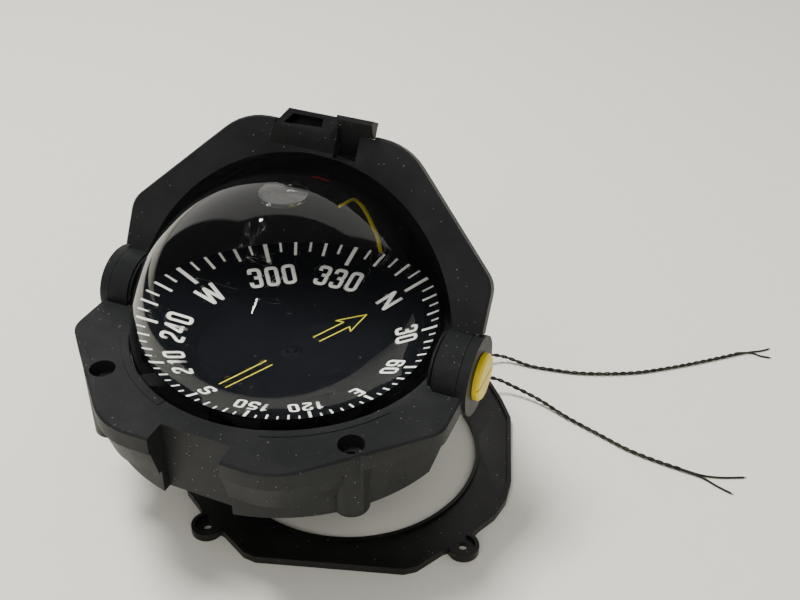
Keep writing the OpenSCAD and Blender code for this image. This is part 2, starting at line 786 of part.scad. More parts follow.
module gimbal_ring() {
    color(brass) at_centre() translate([0, 0, gimbal_z]) difference() {
        translate([0, 0, -gimbal_h / 2]) difference() {
            cylinder(h = gimbal_h, r = gimbal_out);
            translate([0, 0, -cut]) cylinder(h = gimbal_h + 2 * cut, r = gimbal_r);
        }
        bar_x(-gimbal_out - cut, gimbal_out + cut, pin_r + run_gap);
        bar_y(-gimbal_out - cut, gimbal_out + cut, pin_r);
    }
}

module gimbal_pins_inner() {
    color(steel) at_centre() translate([0, 0, gimbal_z]) {
        bar_y(cradle_end - 4, gimbal_out - 0.2, pin_r);
        bar_y(-gimbal_out + 0.2, -cradle_end + 4, pin_r);
    }
}

module pivot_cradle() {
    color(dark) at_centre() difference() {
        union() {
            translate([0, 0, gimbal_z - 4]) cylinder(h = hub_top - gimbal_z + 4, r = 6);
            block([-arm_half, -cradle_end, gimbal_z - gimbal_h / 2],
                [arm_half, cradle_end, gimbal_z + gimbal_h / 2]);
            translate([0, 0, weight_top - weight_h]) cylinder(h = gimbal_z - weight_top + weight_h, r = 2.5);
        }
        translate([0, 0, gimbal_z]) {
            bar_y(cradle_end - 4.2, cradle_end + cut, pin_r + run_gap);
            bar_y(-cradle_end - cut, -cradle_end + 4.2, pin_r + run_gap);
        }
        translate([0, 0, gimbal_z + 1]) cylinder(h = hub_top - gimbal_z, r = pivot_r);
    }
}

module pivot_pin() {
    color(steel) at_centre() {
        translate([0, 0, gimbal_z + 1]) cylinder(h = pin_tip - 1.2 - gimbal_z - 1, r = pivot_r);
        translate([0, 0, pin_tip - 1.2]) cylinder(h = 1.2, r1 = pivot_r, r2 = 0.1);
    }
}

module counterweight() {
    color(brass) at_centre() translate([0, 0, weight_top - weight_h]) difference() {
        cylinder(h = weight_h, r = weight_r);
        translate([0, 0, -cut]) cylinder(h = weight_h + 2 * cut, r = 2.5);
    }
}

module lubber_line() {
    color(yellow) at_centre() tube(lubber_route, lubber_r, 8, [1, 0, 0]);
}

module card() {
    edge_top = card_top + card_rise;
    color("#141416") at_centre() rotate_extrude()
        polygon([[jewel_r, card_under], [card_flat_r, card_under], [card_r, edge_top - card_t],
            [card_r, edge_top], [card_flat_r, card_top], [jewel_r, card_top]]);
}

module card_float() {
    color("#e2e2de") at_centre() translate([0, 0, card_under - float_h]) difference() {
        cylinder(h = float_h, r = float_r);
        translate([0, 0, -cut]) cylinder(h = float_h + 2 * cut, r = jewel_r);
    }
}

module card_magnets() {
    color("#6f7276") at_centre() rotate(north_turn) for (s = [-1, 1])
        translate([-magnet_l / 2, s * (float_r + magnet_w) - magnet_w / 2, card_under - magnet_w])
            cube([magnet_l, magnet_w, magnet_w]);
}

module jewel_cup() {
    cup_under = card_under - 4.6;
    color(brass) at_centre() difference() {
        translate([0, 0, cup_under]) cylinder(h = card_top - cup_under, r = jewel_r);
        translate([0, 0, cup_under - 0.01])
            cylinder(h = pin_tip + 0.3 - cup_under, r1 = jewel_r - 1, r2 = 0.1);
    }
}

// Children built level about the hub axis, then tilted with the hood
module on_hood() {
    at_centre() translate([0, 0, hub_z]) rotate([hood_tilt, 0, 0]) children();
}

// Half of the lobed outline behind the axis, clear of the ears
module hood_shell() {
    edge_under = hood_top - hood_edge_h;
    intersection() {
        union() {
            lobed_slab(hood_top - hood_plate_t, hood_top);
            lobed_wall(edge_under, hood_top - hood_plate_t + sit_gap, hood_wall);
            translate([0, 0, hood_top - hood_wall_h]) difference() {
                cylinder(h = hood_wall_h - sit_gap, r = hood_bore + hood_wall);
                translate([0, 0, -cut]) cylinder(h = hood_wall_h + 2 * cut, r = hood_bore);
            }
        }
        block([-far, 0, hood_top - hood_wall_h], [far, far, hood_top]);
    }
}

// Round shade that runs on from the hood's inner wall, about the hub axis and clear of the lugs
module hood_shade() {
    difference() {
        sphere(hood_bore + hood_wall);
        sphere(hood_bore);
        block([-far, -far, hood_top - hood_wall_h + 1], [far, far, far]);
        block([-far, -far, -far], [far, far, -shade_drop]);
        rotate([-shade_turn, 0, 0]) block([-far, -far, -far], [far, far, 0]);
        bar_x(-far, far, hub_r - lap);
    }
}

module hood() {
    color(black) on_hood() {
        difference() {
            union() {
                difference() {
                    hood_shell();
                    both_sides() block([eye_out, -cut, -far], [far, hub_r + sweep_gap, far]);
                }
                both_sides() bar_x(eye_in, eye_out, hub_r);
            }
            difference() {
                translate([0, 0, -far]) cylinder(h = 2 * far, r = hood_bore);
                both_sides() bar_x(eye_in, eye_out, hub_r);
            }
            both_sides() bar_x(eye_in - cut, eye_out + cut, bush_r);
            block([-block_left, block_front, hood_top - block_depth - cut], [block_gap, far, far]);
            block([block_gap - cut, front_edge - block_in, -far], [block_right + 1, far, far]);
            block([block_gap - groove_w, hood_bore, hood_top - hood_plate_t - cut], [block_gap, far, far]);
            lens_window(sit_gap);
        }
        hood_shade();
    }
}

// Where the lens sits in the hood's inner wall, larger by grow all round
module lens_window(grow) {
    block([-lens_w / 2 - grow, hood_bore - 3, lamp_z - lens_h / 2 - grow],
        [lens_w / 2 + grow, hood_bore + hood_wall + cut, lamp_z + lens_h / 2 + grow]);
}

module hub_bush() {
    difference() {
        bar_x(eye_in, eye_out, bush_r);
        bar_x(eye_in - cut, eye_out + cut, bolt_hole_r);
    }
}

module hub_bush_left() {
    color("#d8d4c4") on_hood() mirror([1, 0, 0]) hub_bush();
}

module hub_bush_right() {
    color("#d8d4c4") on_hood() hub_bush();
}

// Block behind the gap in the hood: a sloping front over the plate, an open pocket behind it,
// and beside it a ramp that climbs from the hood's inner wall to the rear edge, with a cheek
module lamp_housing() {
    top = hood_top + block_rise;
    under = hood_top - block_depth;
    groove_x = block_gap - groove_w;
    foot_y = hood_bore + hood_wall + sit_gap;
    rear = block_rear - 1;
    wall = 2;
    slant = 6;
    lean = 1.6;
    thin = 0.2;
    cheek = 1;
    foot_in = 4;
    base = [[-block_left, block_front], [groove_x, block_front], [groove_x, rear],
        [-block_left + slant, rear]];
    lower = [[-block_left - 1, foot_y], [groove_x, foot_y], [groove_x, rear], [-block_left + slant, rear],
        [-block_left - 1, block_front - 1.5]];
    upper = [[-block_left + lean, block_front + lap], [groove_x - lean, block_front + lap],
        [groove_x + lean, rear - wall / 2], [groove_x + lean, rear], [-block_left + slant + lean, rear]];
    pocket = [[-block_left + slant, block_front + wall], [groove_x - slant, block_front + wall + 1],
        [groove_x - slant, rear - wall], [-block_left + slant + 2 * wall, rear - wall]];
    color(black) on_hood() difference() {
        union() {
            translate([0, 0, under]) linear_extrude(block_depth) polygon(base);
            translate([0, 0, hood_top - lap]) linear_extrude(2 * lap) polygon(inset(base, 1));
            hull() {
                translate([0, 0, hood_top]) linear_extrude(thin) polygon(lower);
                translate([0, 0, top - thin]) linear_extrude(thin) polygon(upper);
            }
            difference() {
                union() {
                    translate([groove_x, 0, 0]) rotate([90, 0, 90])
                        linear_extrude(block_right - groove_x)
                            polygon([[hood_bore - foot_in, under], [hood_bore - foot_in, lamp_z],
                                [foot_y, lamp_z], [block_rear - wall, top + lap],
                                [block_rear, top], [block_rear, under]]);
                    block([groove_x - cheek, hood_bore - foot_in, under],
                        [groove_x + lap, block_front + lap, hood_top - hood_plate_t - sit_gap]);
                }
                bar_z_wall(foot_y);
                block([block_gap, -far, -far], [far, front_edge - block_in + sit_gap, far]);
                block([block_gap + 1, -far, -far], [far, far, hood_top - end_depth]);
            }
            block([groove_x - lap, block_front + lap, under + lap], [groove_x + lap, rear - lap, lamp_z]);
        }
        translate([0, 0, hood_top - block_rise]) linear_extrude(far) polygon(pocket);
        translate([0, 0, lamp_z]) bar_y(block_front - cut, block_rear - 2, socket_r);
    }
}

module lamp_lens() {
    color("#c23a2e", 0.7) on_hood() intersection() {
        lens_window(0);
        difference() {
            bar_z_wall(hood_bore + hood_wall);
            bar_z_wall(hood_bore + 0.1);
        }
    }
}

// A tall cylinder about the dome's axis
module bar_z_wall(r) {
    translate([0, 0, -hood_bore]) cylinder(h = 2 * hood_bore, r = r);
}

module lamp_bulb() {
    color("#f0ead6", 0.6) on_hood() translate([0, 0, lamp_z]) {
        bar_y(bulb_y, block_front + lap, bulb_r);
        translate([0, bulb_y, 0]) sphere(bulb_r);
    }
}

module lamp_base() {
    color(brass) on_hood() translate([0, 0, lamp_z]) bar_y(block_front + lap, block_rear - 2, socket_r);
}

module friction_washer() {
    translate([0, 0, centre_h + hub_z]) difference() {
        bar_x(ear_in - sit_gap, ear_in + washer_t - sit_gap, washer_r);
        bar_x(ear_in - cut, ear_in + washer_t + cut, bolt_hole_r);
    }
}

module friction_washer_left() {
    color("#e6e2d6") mirror([1, 0, 0]) friction_washer();
}

module friction_washer_right() {
    color("#e6e2d6") friction_washer();
}

module pivot_bolt() {
    translate([0, 0, centre_h + hub_z]) bar_x(bolt_tip, ear_out + cap_seat, bolt_r);
}

module pivot_bolt_left() {
    color(steel) mirror([1, 0, 0]) pivot_bolt();
}

module pivot_bolt_right() {
    color(steel) pivot_bolt();
}

// Slotted cap on the bolt's outer end
module hub_cap() {
    cap_in = ear_out + sit_gap;
    edge = 1;
    translate([0, 0, centre_h + hub_z]) difference() {
        union() {
            bar_x(cap_in, cap_in + cap_t - edge, cap_r);
            translate([cap_in + cap_t - edge, 0, 0]) rotate([0, 90, 0])
                cylinder(h = edge, r1 = cap_r, r2 = cap_r - edge);
        }
        bar_x(cap_in - cut, ear_out + cap_seat, bolt_r);
        rotate([slot_turn, 0, 0]) block([cap_in + cap_t - slot_d, -slot_w / 2, -cap_r - cut],
            [cap_in + cap_t + cut, slot_w / 2, cap_r + cut]);
    }
}

module hub_cap_left() {
    color(yellow) mirror([1, 0, 0]) hub_cap();
}

module hub_cap_right() {
    color(yellow) hub_cap();
}

module mounting_ring() {
    full_h = ring_plate_t + ring_lip_h;
    left = [for (i = [len(ring_half) - 1:-1:0]) [-ring_half[i][0], ring_half[i][1]]];
    outline = concat(ring_half, left);
    color("#202021") translate([ring_x, ring_y, 0]) rotate(ring_turn) difference() {
        union() {
            linear_extrude(full_h) polygon(outline);
            both_sides() translate([ring_ear_x, ring_ear_y, 0]) cylinder(h = full_h, r = ring_ear_r);
        }
        difference() {
            translate([0, 0, ring_plate_t]) linear_extrude(full_h) polygon(inset(outline, ring_lip_w));
            cylinder(h = 3 * full_h, r = ring_hole_r + ring_lip_w);
        }
        both_sides() translate([ring_ear_x, ring_ear_y, ring_plate_t])
            cylinder(h = full_h, r = ring_ear_r - ring_lip_w);
        translate([0, 0, -cut]) cylinder(h = full_h + 2 * cut, r = ring_hole_r);
        both_sides() translate([ring_ear_x, ring_ear_y, -cut])
            cylinder(h = full_h, r = ring_ear_hole_r);
    }
}

// A twisted pair as one tube, with its two parted ends
module lead(route, tails) {
    tube(smooth(route, 2), lead_r);
    for (t = tails) tube(t, strand_r);
}

module lead_upper() {
    color("#17150f") lead(upper_route, upper_tails);
}

module lead_lower() {
    color("#17150f") lead(lower_route, lower_tails);
}

bezel_ring();
bowl_clamp_ring();
dome();
dome_seal();
bowl();
wire_gland();
filling_plug();
plug_washer();
diaphragm();
diaphragm_cap();
diaphragm_screws();
foot_cover();
foot_screws();
foot_pad();
compensator_shaft_a();
compensator_magnet_a();
compensator_shaft_b();
compensator_magnet_b();
gimbal_pins_outer();
gimbal_ring();
gimbal_pins_inner();
pivot_cradle();
pivot_pin();
counterweight();
lubber_line();
card();
card_float();
card_magnets();
jewel_cup();
hood();
hub_bush_left();
hub_bush_right();
lamp_housing();
lamp_lens();
lamp_bulb();
lamp_base();
friction_washer_left();
friction_washer_right();
pivot_bolt_left();
pivot_bolt_right();
hub_cap_left();
hub_cap_right();
mounting_ring();
lead_upper();
lead_lower();
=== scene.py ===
"""Marine compass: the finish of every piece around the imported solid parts."""
import json
import math

import bmesh
import bpy
from mathutils import Matrix, Vector


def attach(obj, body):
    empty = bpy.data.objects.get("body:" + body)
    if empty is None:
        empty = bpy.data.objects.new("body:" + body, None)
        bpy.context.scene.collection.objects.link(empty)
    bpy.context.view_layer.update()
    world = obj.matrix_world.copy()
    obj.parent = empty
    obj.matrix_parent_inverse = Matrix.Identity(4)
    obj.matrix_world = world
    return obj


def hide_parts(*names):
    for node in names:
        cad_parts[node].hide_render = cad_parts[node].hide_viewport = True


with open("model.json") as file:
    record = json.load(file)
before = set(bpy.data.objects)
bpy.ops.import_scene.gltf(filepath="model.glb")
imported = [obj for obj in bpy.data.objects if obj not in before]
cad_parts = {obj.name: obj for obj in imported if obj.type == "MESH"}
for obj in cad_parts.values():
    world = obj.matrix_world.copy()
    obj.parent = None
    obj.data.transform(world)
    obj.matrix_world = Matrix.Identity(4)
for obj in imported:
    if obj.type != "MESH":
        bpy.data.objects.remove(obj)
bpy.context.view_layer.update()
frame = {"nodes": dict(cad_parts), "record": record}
NODES = frame["nodes"]
MM = 0.001

# Sizes in millimetres, as the solid parts have them. Heights but the first are over the dome's centre.
CENTRE_H = 75.0
DOME_R = 70.5
OPENING_R = 71.1
FLANGE_R = 73.2
FLANGE_W = 4.0
FLANGE_TOP = -1.5
FLANGE_UNDER = -4.0
BEZEL_TOP = 1.4
BOWL_IN = 66.0
BOWL_RIM = -5.8
FLOOR_Z = -57.0
CARD_R = 46.0
CARD_FLAT_R = 28.0
CARD_TOP = -9.6
CARD_RISE = 2.6
NORTH_TURN = 66.1
LIQUID_IOR = 1.46


def mm(x, y, z):
    """A point given in millimetres, in metres."""
    return Vector((x, y, z)) * MM


# Camera -----------------------------------------------------------------

def make_camera():
    """The camera at the photograph's place: 45 mm on a 36 mm sensor."""
    data = bpy.data.cameras.new("camera")
    data.lens, data.sensor_width = 45.0, 36.0
    data.clip_start, data.clip_end = 0.01, 20.0
    camera = bpy.data.objects.new("camera", data)
    bpy.context.scene.collection.objects.link(camera)
    right = Vector((0.9249, 0.3797, 0.0209)).normalized()
    back = Vector((0.2998, -0.7619, 0.5742)).normalized()
    up = back.cross(right).normalized()
    right = up.cross(back)
    turn = Matrix((right, up, back)).transposed().to_4x4()
    camera.matrix_world = Matrix.Translation(mm(178.9, -320.1, 345.9)) @ turn
    bpy.context.scene.camera = camera


make_camera()


# Node helpers -------------------------------------------------------------

FLOAT, COLOUR, VECTOR = "NodeSocketFloat", "NodeSocketColor", "NodeSocketVector"


def node(tree, kind, **values):
    """A new shader node with the given properties."""
    made = tree.nodes.new(kind)
    for key, value in values.items():
        setattr(made, key, value)
    return made


def ramp(tree, source, low, high, low_value=0.0, high_value=1.0):
    """A value mapped from low..high to low_value..high_value, held at both ends."""
    made = node(tree, "ShaderNodeMapRange", clamp=True)
    made.inputs["From Min"].default_value = low
    made.inputs["From Max"].default_value = high
    made.inputs["To Min"].default_value = low_value
    made.inputs["To Max"].default_value = high_value
    tree.links.new(source, made.inputs["Value"])
    return made.outputs["Result"]


def sums(tree, operation, a, b=0.0):
    """A Math node on two sockets or numbers."""
    made = node(tree, "ShaderNodeMath", operation=operation)
    for k, value in enumerate((a, b)):
        if isinstance(value, (int, float)):
            made.inputs[k].default_value = value
        else:
            tree.links.new(value, made.inputs[k])
    return made.outputs[0]


def blend(tree, factor, a, b):
    """Two colours mixed by a factor socket."""
    made = node(tree, "ShaderNodeMix", data_type="RGBA")
    tree.links.new(factor, made.inputs["Factor"])
    for name, value in (("A", a), ("B", b)):
        socket = [s for s in made.inputs if s.name == name and s.type == "RGBA"][0]
        if isinstance(value, tuple):
            socket.default_value = value
        else:
            tree.links.new(value, socket)
    return [s for s in made.outputs if s.type == "RGBA"][0]


def dot(tree, vector, way):
    """The dot product of a vector socket and a fixed direction."""
    made = node(tree, "ShaderNodeVectorMath", operation="DOT_PRODUCT")
    tree.links.new(vector, made.inputs[0])
    made.inputs[1].default_value = way
    return made.outputs["Value"]


def noise(tree, vector, scale, detail=2.0, roughness=0.5, distortion=0.0):
    """A noise value between 0 and 1, its scale in cells to the metre."""
    made = node(tree, "ShaderNodeTexNoise")
    made.inputs["Scale"].default_value = scale
    made.inputs["Detail"].default_value = detail
    made.inputs["Roughness"].default_value = roughness
    made.inputs["Distortion"].default_value = distortion
    tree.links.new(vector, made.inputs["Vector"])
    return made.outputs["Fac"]


def new_group(name, inputs, outputs):
    """A shader node group with the named sockets. Inputs are (name, type, default)."""
    tree = bpy.data.node_groups.new(name, "ShaderNodeTree")
    for label, kind, value in inputs:
        socket = tree.interface.new_socket(label, in_out="INPUT", socket_type=kind)
        if value is not None:
            socket.default_value = value
    for label, kind in outputs:
        tree.interface.new_socket(label, in_out="OUTPUT", socket_type=kind)
    start, end = tree.nodes.new("NodeGroupInput"), tree.nodes.new("NodeGroupOutput")
    return tree, start, end


# Finishes that several materials share ----------------------------------------

# Pattern scales, in cells to the metre
GRAIN_SCALE = 1500.0
CLOUD_SCALE = 45.0
SPECK_SCALE = 900.0
PATCH_SCALE = 28.0
SCRATCH_SCALE = 160.0
SCRATCH_BREAKS = 60.0
HAIRLINE_PATCHES = 22.0
TURNED_SCALE = 900.0
TARNISH_SCALE = 120.0
HAZE_SCALE = 300.0

GRAIN_ROUGHNESS = 0.06
SPECK_ROUGHNESS = 0.3
WEAR_POLISH = 0.12
SPECK_RELIEF = 0.5
SCRATCH_RELIEF = 0.8
SCRATCH_HALF = 0.006
PALE_SPECK = (0.45, 0.44, 0.42)

# How each set of scratches is turned (radians), drawn out and shifted
SCRATCH_SETS = (((0.3, 0.2, 0.5), (1.0, 0.06, 1.0), 0.0),
                ((0.9, 1.1, 2.1), (1.0, 0.05, 1.0), 3.1),
                ((1.7, 0.4, 1.2), (0.07, 1.0, 1.0), 7.7))


def scratch_lines(tree, vector):
    """A mask of thin lines that run several ways, broken into short lengths."""
    total = None
    for turn, stretch, shift in SCRATCH_SETS:
        place = node(tree, "ShaderNodeMapping")
        place.inputs["Rotation"].default_value = turn
        place.inputs["Scale"].default_value = stretch
        place.inputs["Location"].default_value = (shift, shift, shift)
        tree.links.new(vector, place.inputs["Vector"])
        field = noise(tree, place.outputs["Vector"], SCRATCH_SCALE, 1.0, 0.4, 0.2)
        off = sums(tree, "ABSOLUTE", sums(tree, "SUBTRACT", field, 0.5))
        line = ramp(tree, off, 0.0, SCRATCH_HALF, 1.0, 0.0)
        kept = ramp(tree, noise(tree, place.outputs["Vector"], SCRATCH_BREAKS), 0.55, 0.68)
        line = sums(tree, "MULTIPLY", line, kept)
        total = line if total is None else sums(tree, "MAXIMUM", total, line)
    return total


def make_moulding():
    """Moulded plastic that has been handled: grain, cloudy wear, pale specks and hairline scratches."""
    tree, start, end = new_group("handled moulding", [
        ("Vector", VECTOR, None), ("Colour", COLOUR, (0.03, 0.03, 0.03, 1)),
        ("Worn colour", COLOUR, (0.08, 0.08, 0.08, 1)), ("Speck colour", COLOUR, (*PALE_SPECK, 1)),
        ("Specks", FLOAT, 0.3), ("Scratches", FLOAT, 0.3), ("Wear", FLOAT, 0.3), ("Roughness", FLOAT, 0.5)],
        [("Colour", COLOUR), ("Roughness", FLOAT), ("Height", FLOAT)])
    link = tree.links.new
    vector = start.outputs["Vector"]
    grain = noise(tree, vector, GRAIN_SCALE, 3.0, 0.6)
    clouds = ramp(tree, noise(tree, vector, CLOUD_SCALE, 4.0, 0.65), 0.42, 0.75)
    cells = node(tree, "ShaderNodeTexVoronoi", feature="F1")
    cells.inputs["Scale"].default_value = SPECK_SCALE
    link(vector, cells.inputs["Vector"])
    near = ramp(tree, cells.outputs["Distance"], 0.1, 0.22, 1.0, 0.0)
    split = node(tree, "ShaderNodeSeparateColor")
    link(cells.outputs["Color"], split.inputs["Color"])
    patches = ramp(tree, noise(tree, vector, PATCH_SCALE, 3.0, 0.6), 0.4, 0.7, 0.25, 1.0)
    chance = sums(tree, "MULTIPLY", start.outputs["Specks"], patches)
    chosen = sums(tree, "LESS_THAN", split.outputs["Red"], chance)
    bright = ramp(tree, split.outputs["Green"], 0.0, 1.0, 0.15, 1.0)
    specks = sums(tree, "MULTIPLY", sums(tree, "MULTIPLY", near, chosen), bright)
    scratches = sums(tree, "MULTIPLY", scratch_lines(tree, vector), start.outputs["Scratches"])
    worn = sums(tree, "MULTIPLY", clouds, start.outputs["Wear"])
    first = blend(tree, worn, start.outputs["Colour"], start.outputs["Worn colour"])
    second = blend(tree, scratches, first, start.outputs["Worn colour"])
    link(blend(tree, specks, second, start.outputs["Speck colour"]), end.inputs["Colour"])
    grained = ramp(tree, grain, 0.3, 0.7, -GRAIN_ROUGHNESS, GRAIN_ROUGHNESS)
    rough = sums(tree, "ADD", start.outputs["Roughness"], grained)
    rough = sums(tree, "ADD", rough, sums(tree, "MULTIPLY", specks, SPECK_ROUGHNESS))
    link(sums(tree, "SUBTRACT", rough, sums(tree, "MULTIPLY", worn, WEAR_POLISH)), end.inputs["Roughness"])
    height = sums(tree, "SUBTRACT", grain, sums(tree, "MULTIPLY", scratches, SCRATCH_RELIEF))
    link(sums(tree, "ADD", height, sums(tree, "MULTIPLY", specks, SPECK_RELIEF)), end.inputs["Height"])
    return tree


def make_hairlines():
    """Hairline scratches alone, for clear plastic."""
    tree, start, end = new_group("hairlines", [("Vector", VECTOR, None)], [("Mask", FLOAT)])
    lines = scratch_lines(tree, start.outputs["Vector"])
    where = ramp(tree, noise(tree, start.outputs["Vector"], HAIRLINE_PATCHES), 0.38, 0.62, 0.15, 1.0)
    tree.links.new(sums(tree, "MULTIPLY", lines, where), end.inputs["Mask"])
    return tree


def make_turned_metal():
    """Turned metal: fine lines and slight tarnish."""
    tree, start, end = new_group("turned metal", [
        ("Vector", VECTOR, None), ("Colour", COLOUR, (0.5, 0.5, 0.5, 1)),
        ("Dull colour", COLOUR, (0.3, 0.3, 0.3, 1)), ("Roughness", FLOAT, 0.3)],
        [("Colour", COLOUR), ("Roughness", FLOAT), ("Height", FLOAT)])
    lines = noise(tree, start.outputs["Vector"], TURNED_SCALE, 4.0, 0.7)
    tarnish = ramp(tree, noise(tree, start.outputs["Vector"], TARNISH_SCALE, 3.0), 0.4, 0.75)
    tree.links.new(blend(tree, tarnish, start.outputs["Colour"], start.outputs["Dull colour"]), end.inputs["Colour"])
    lined = ramp(tree, lines, 0.3, 0.7, -0.08, 0.12)
    tree.links.new(sums(tree, "ADD", start.outputs["Roughness"], lined), end.inputs["Roughness"])
    tree.links.new(lines, end.inputs["Height"])
    return tree


def make_haze():
    """Slight haze in small clear pieces."""
    tree, start, end = new_group("haze", [
        ("Vector", VECTOR, None), ("Colour", COLOUR, (0.9, 0.9, 0.9, 1)), ("Dull colour", COLOUR, (0.7, 0.7, 0.7, 1)),
        ("Roughness", FLOAT, 0.05)], [("Colour", COLOUR), ("Roughness", FLOAT)])
    cloud = noise(tree, start.outputs["Vector"], HAZE_SCALE)
    tree.links.new(blend(tree, cloud, start.outputs["Colour"], start.outputs["Dull colour"]), end.inputs["Colour"])
    hazed = ramp(tree, cloud, 0.3, 0.7, 0.0, 0.1)
    tree.links.new(sums(tree, "ADD", start.outputs["Roughness"], hazed), end.inputs["Roughness"])
    return tree


MOULDING = make_moulding()
HAIRLINES = make_hairlines()
TURNED_METAL = make_turned_metal()
HAZE = make_haze()


# Materials ----------------------------------------------------------------------

METAL_DULL = 0.55
METAL_RELIEF = 0.00001
CLEAR_DULL = 0.8
CLEAR_IOR = 1.49
CLEAR_ROUGHNESS = 0.05
CLEAR_WEIGHT = 0.85
DOME_TINT = (0.985, 0.99, 0.99, 1)
DOME_HAIRLINE_FINENESS = 2.4
DOME_HAIRLINE_ROUGHNESS = 0.45
DOME_RELIEF, DOME_RELIEF_STRENGTH = 0.00001, 0.4


def new_material(name):
    """A material with its tree, its Principled shader and the object's own coordinates."""
    material = bpy.data.materials.new(name)
    material.use_nodes = True
    tree = material.node_tree
    shader = tree.nodes["Principled BSDF"]
    place = tree.nodes.new("ShaderNodeTexCoord")
    return material, tree, shader, place.outputs["Object"]


def use_group(tree, group, place, **values):
    """A shared finish placed in a material, with this material's own values."""
    made = tree.nodes.new("ShaderNodeGroup")
    made.node_tree = group
    tree.links.new(place, made.inputs["Vector"])
    for key, value in values.items():
        made.inputs[key.replace("_", " ")].default_value = value
    return made


def colour_and_roughness(tree, shader, finish):
    """The finish's colour and roughness on the shader."""
    tree.links.new(finish.outputs["Colour"], shader.inputs["Base Color"])
    tree.links.new(finish.outputs["Roughness"], shader.inputs["Roughness"])


def bump(tree, shader, height, distance, strength=1.0):
    """Fine relief, its distance in metres."""
    made = node(tree, "ShaderNodeBump")
    made.inputs["Distance"].default_value = distance
    made.inputs["Strength"].default_value = strength
    tree.links.new(height, made.inputs["Height"])
    tree.links.new(made.outputs["Normal"], shader.inputs["Normal"])


def dulled(colour, share):
    """A darker colour of the same tone, with its alpha."""
    return tuple(c * share for c in colour) + (1,)


def moulded(name, colour, worn, roughness, specks, scratches, wear, depth=0.00003, speck=PALE_SPECK, level=0.5):
    """A plastic with the handled finish. Colours are linear."""
    material, tree, shader, place = new_material(name)
    finish = use_group(tree, MOULDING, place, Colour=(*colour, 1), Worn_colour=(*worn, 1),
                       Speck_colour=(*speck, 1), Specks=specks, Scratches=scratches, Wear=wear,
                       Roughness=roughness)
    colour_and_roughness(tree, shader, finish)
    shader.inputs["Specular IOR Level"].default_value = level
    bump(tree, shader, finish.outputs["Height"], depth)
    return material


def metal(name, colour, roughness):
    """A turned metal with fine lines and slight tarnish."""
    material, tree, shader, place = new_material(name)
    finish = use_group(tree, TURNED_METAL, place, Colour=(*colour, 1), Dull_colour=dulled(colour, METAL_DULL),
                       Roughness=roughness)
    colour_and_roughness(tree, shader, finish)
    shader.inputs["Metallic"].default_value = 1.0
    bump(tree, shader, finish.outputs["Height"], METAL_RELIEF)
    return material


def make_clear(name, colour):
    """A small clear piece: the lens and the bulb."""
    material, tree, shader, place = new_material(name)
    finish = use_group(tree, HAZE, place, Colour=(*colour, 1), Dull_colour=dulled(colour, CLEAR_DULL),
                       Roughness=CLEAR_ROUGHNESS)
    colour_and_roughness(tree, shader, finish)
    shader.inputs["Transmission Weight"].default_value = CLEAR_WEIGHT
    shader.inputs["IOR"].default_value = CLEAR_IOR
    return material


def make_dome_material():
    """Clear plastic full of liquid. Light reaches the inside straight, so the card is lit evenly."""
    material, tree, shader, place = new_material("liquid dome")
    finer = node(tree, "ShaderNodeMapping")
    finer.inputs["Scale"].default_value = (DOME_HAIRLINE_FINENESS,) * 3
    tree.links.new(place, finer.inputs["Vector"])
    lines = use_group(tree, HAIRLINES, finer.outputs["Vector"]).outputs["Mask"]
    shader.inputs["Base Color"].default_value = DOME_TINT
    shader.inputs["Transmission Weight"].default_value = 1.0
    shader.inputs["IOR"].default_value = LIQUID_IOR
    tree.links.new(ramp(tree, lines, 0.0, 1.0, 0.0, DOME_HAIRLINE_ROUGHNESS), shader.inputs["Roughness"])
    bump(tree, shader, lines, DOME_RELIEF, DOME_RELIEF_STRENGTH)
    path = tree.nodes.new("ShaderNodeLightPath")
    clear = tree.nodes.new("ShaderNodeBsdfTransparent")
    mix = tree.nodes.new("ShaderNodeMixShader")
    tree.links.new(path.outputs["Is Shadow Ray"], mix.inputs["Fac"])
    tree.links.new(shader.outputs["BSDF"], mix.inputs[1])
    tree.links.new(clear.outputs["BSDF"], mix.inputs[2])
    tree.links.new(mix.outputs["Shader"], tree.nodes["Material Output"].inputs["Surface"])
    return material


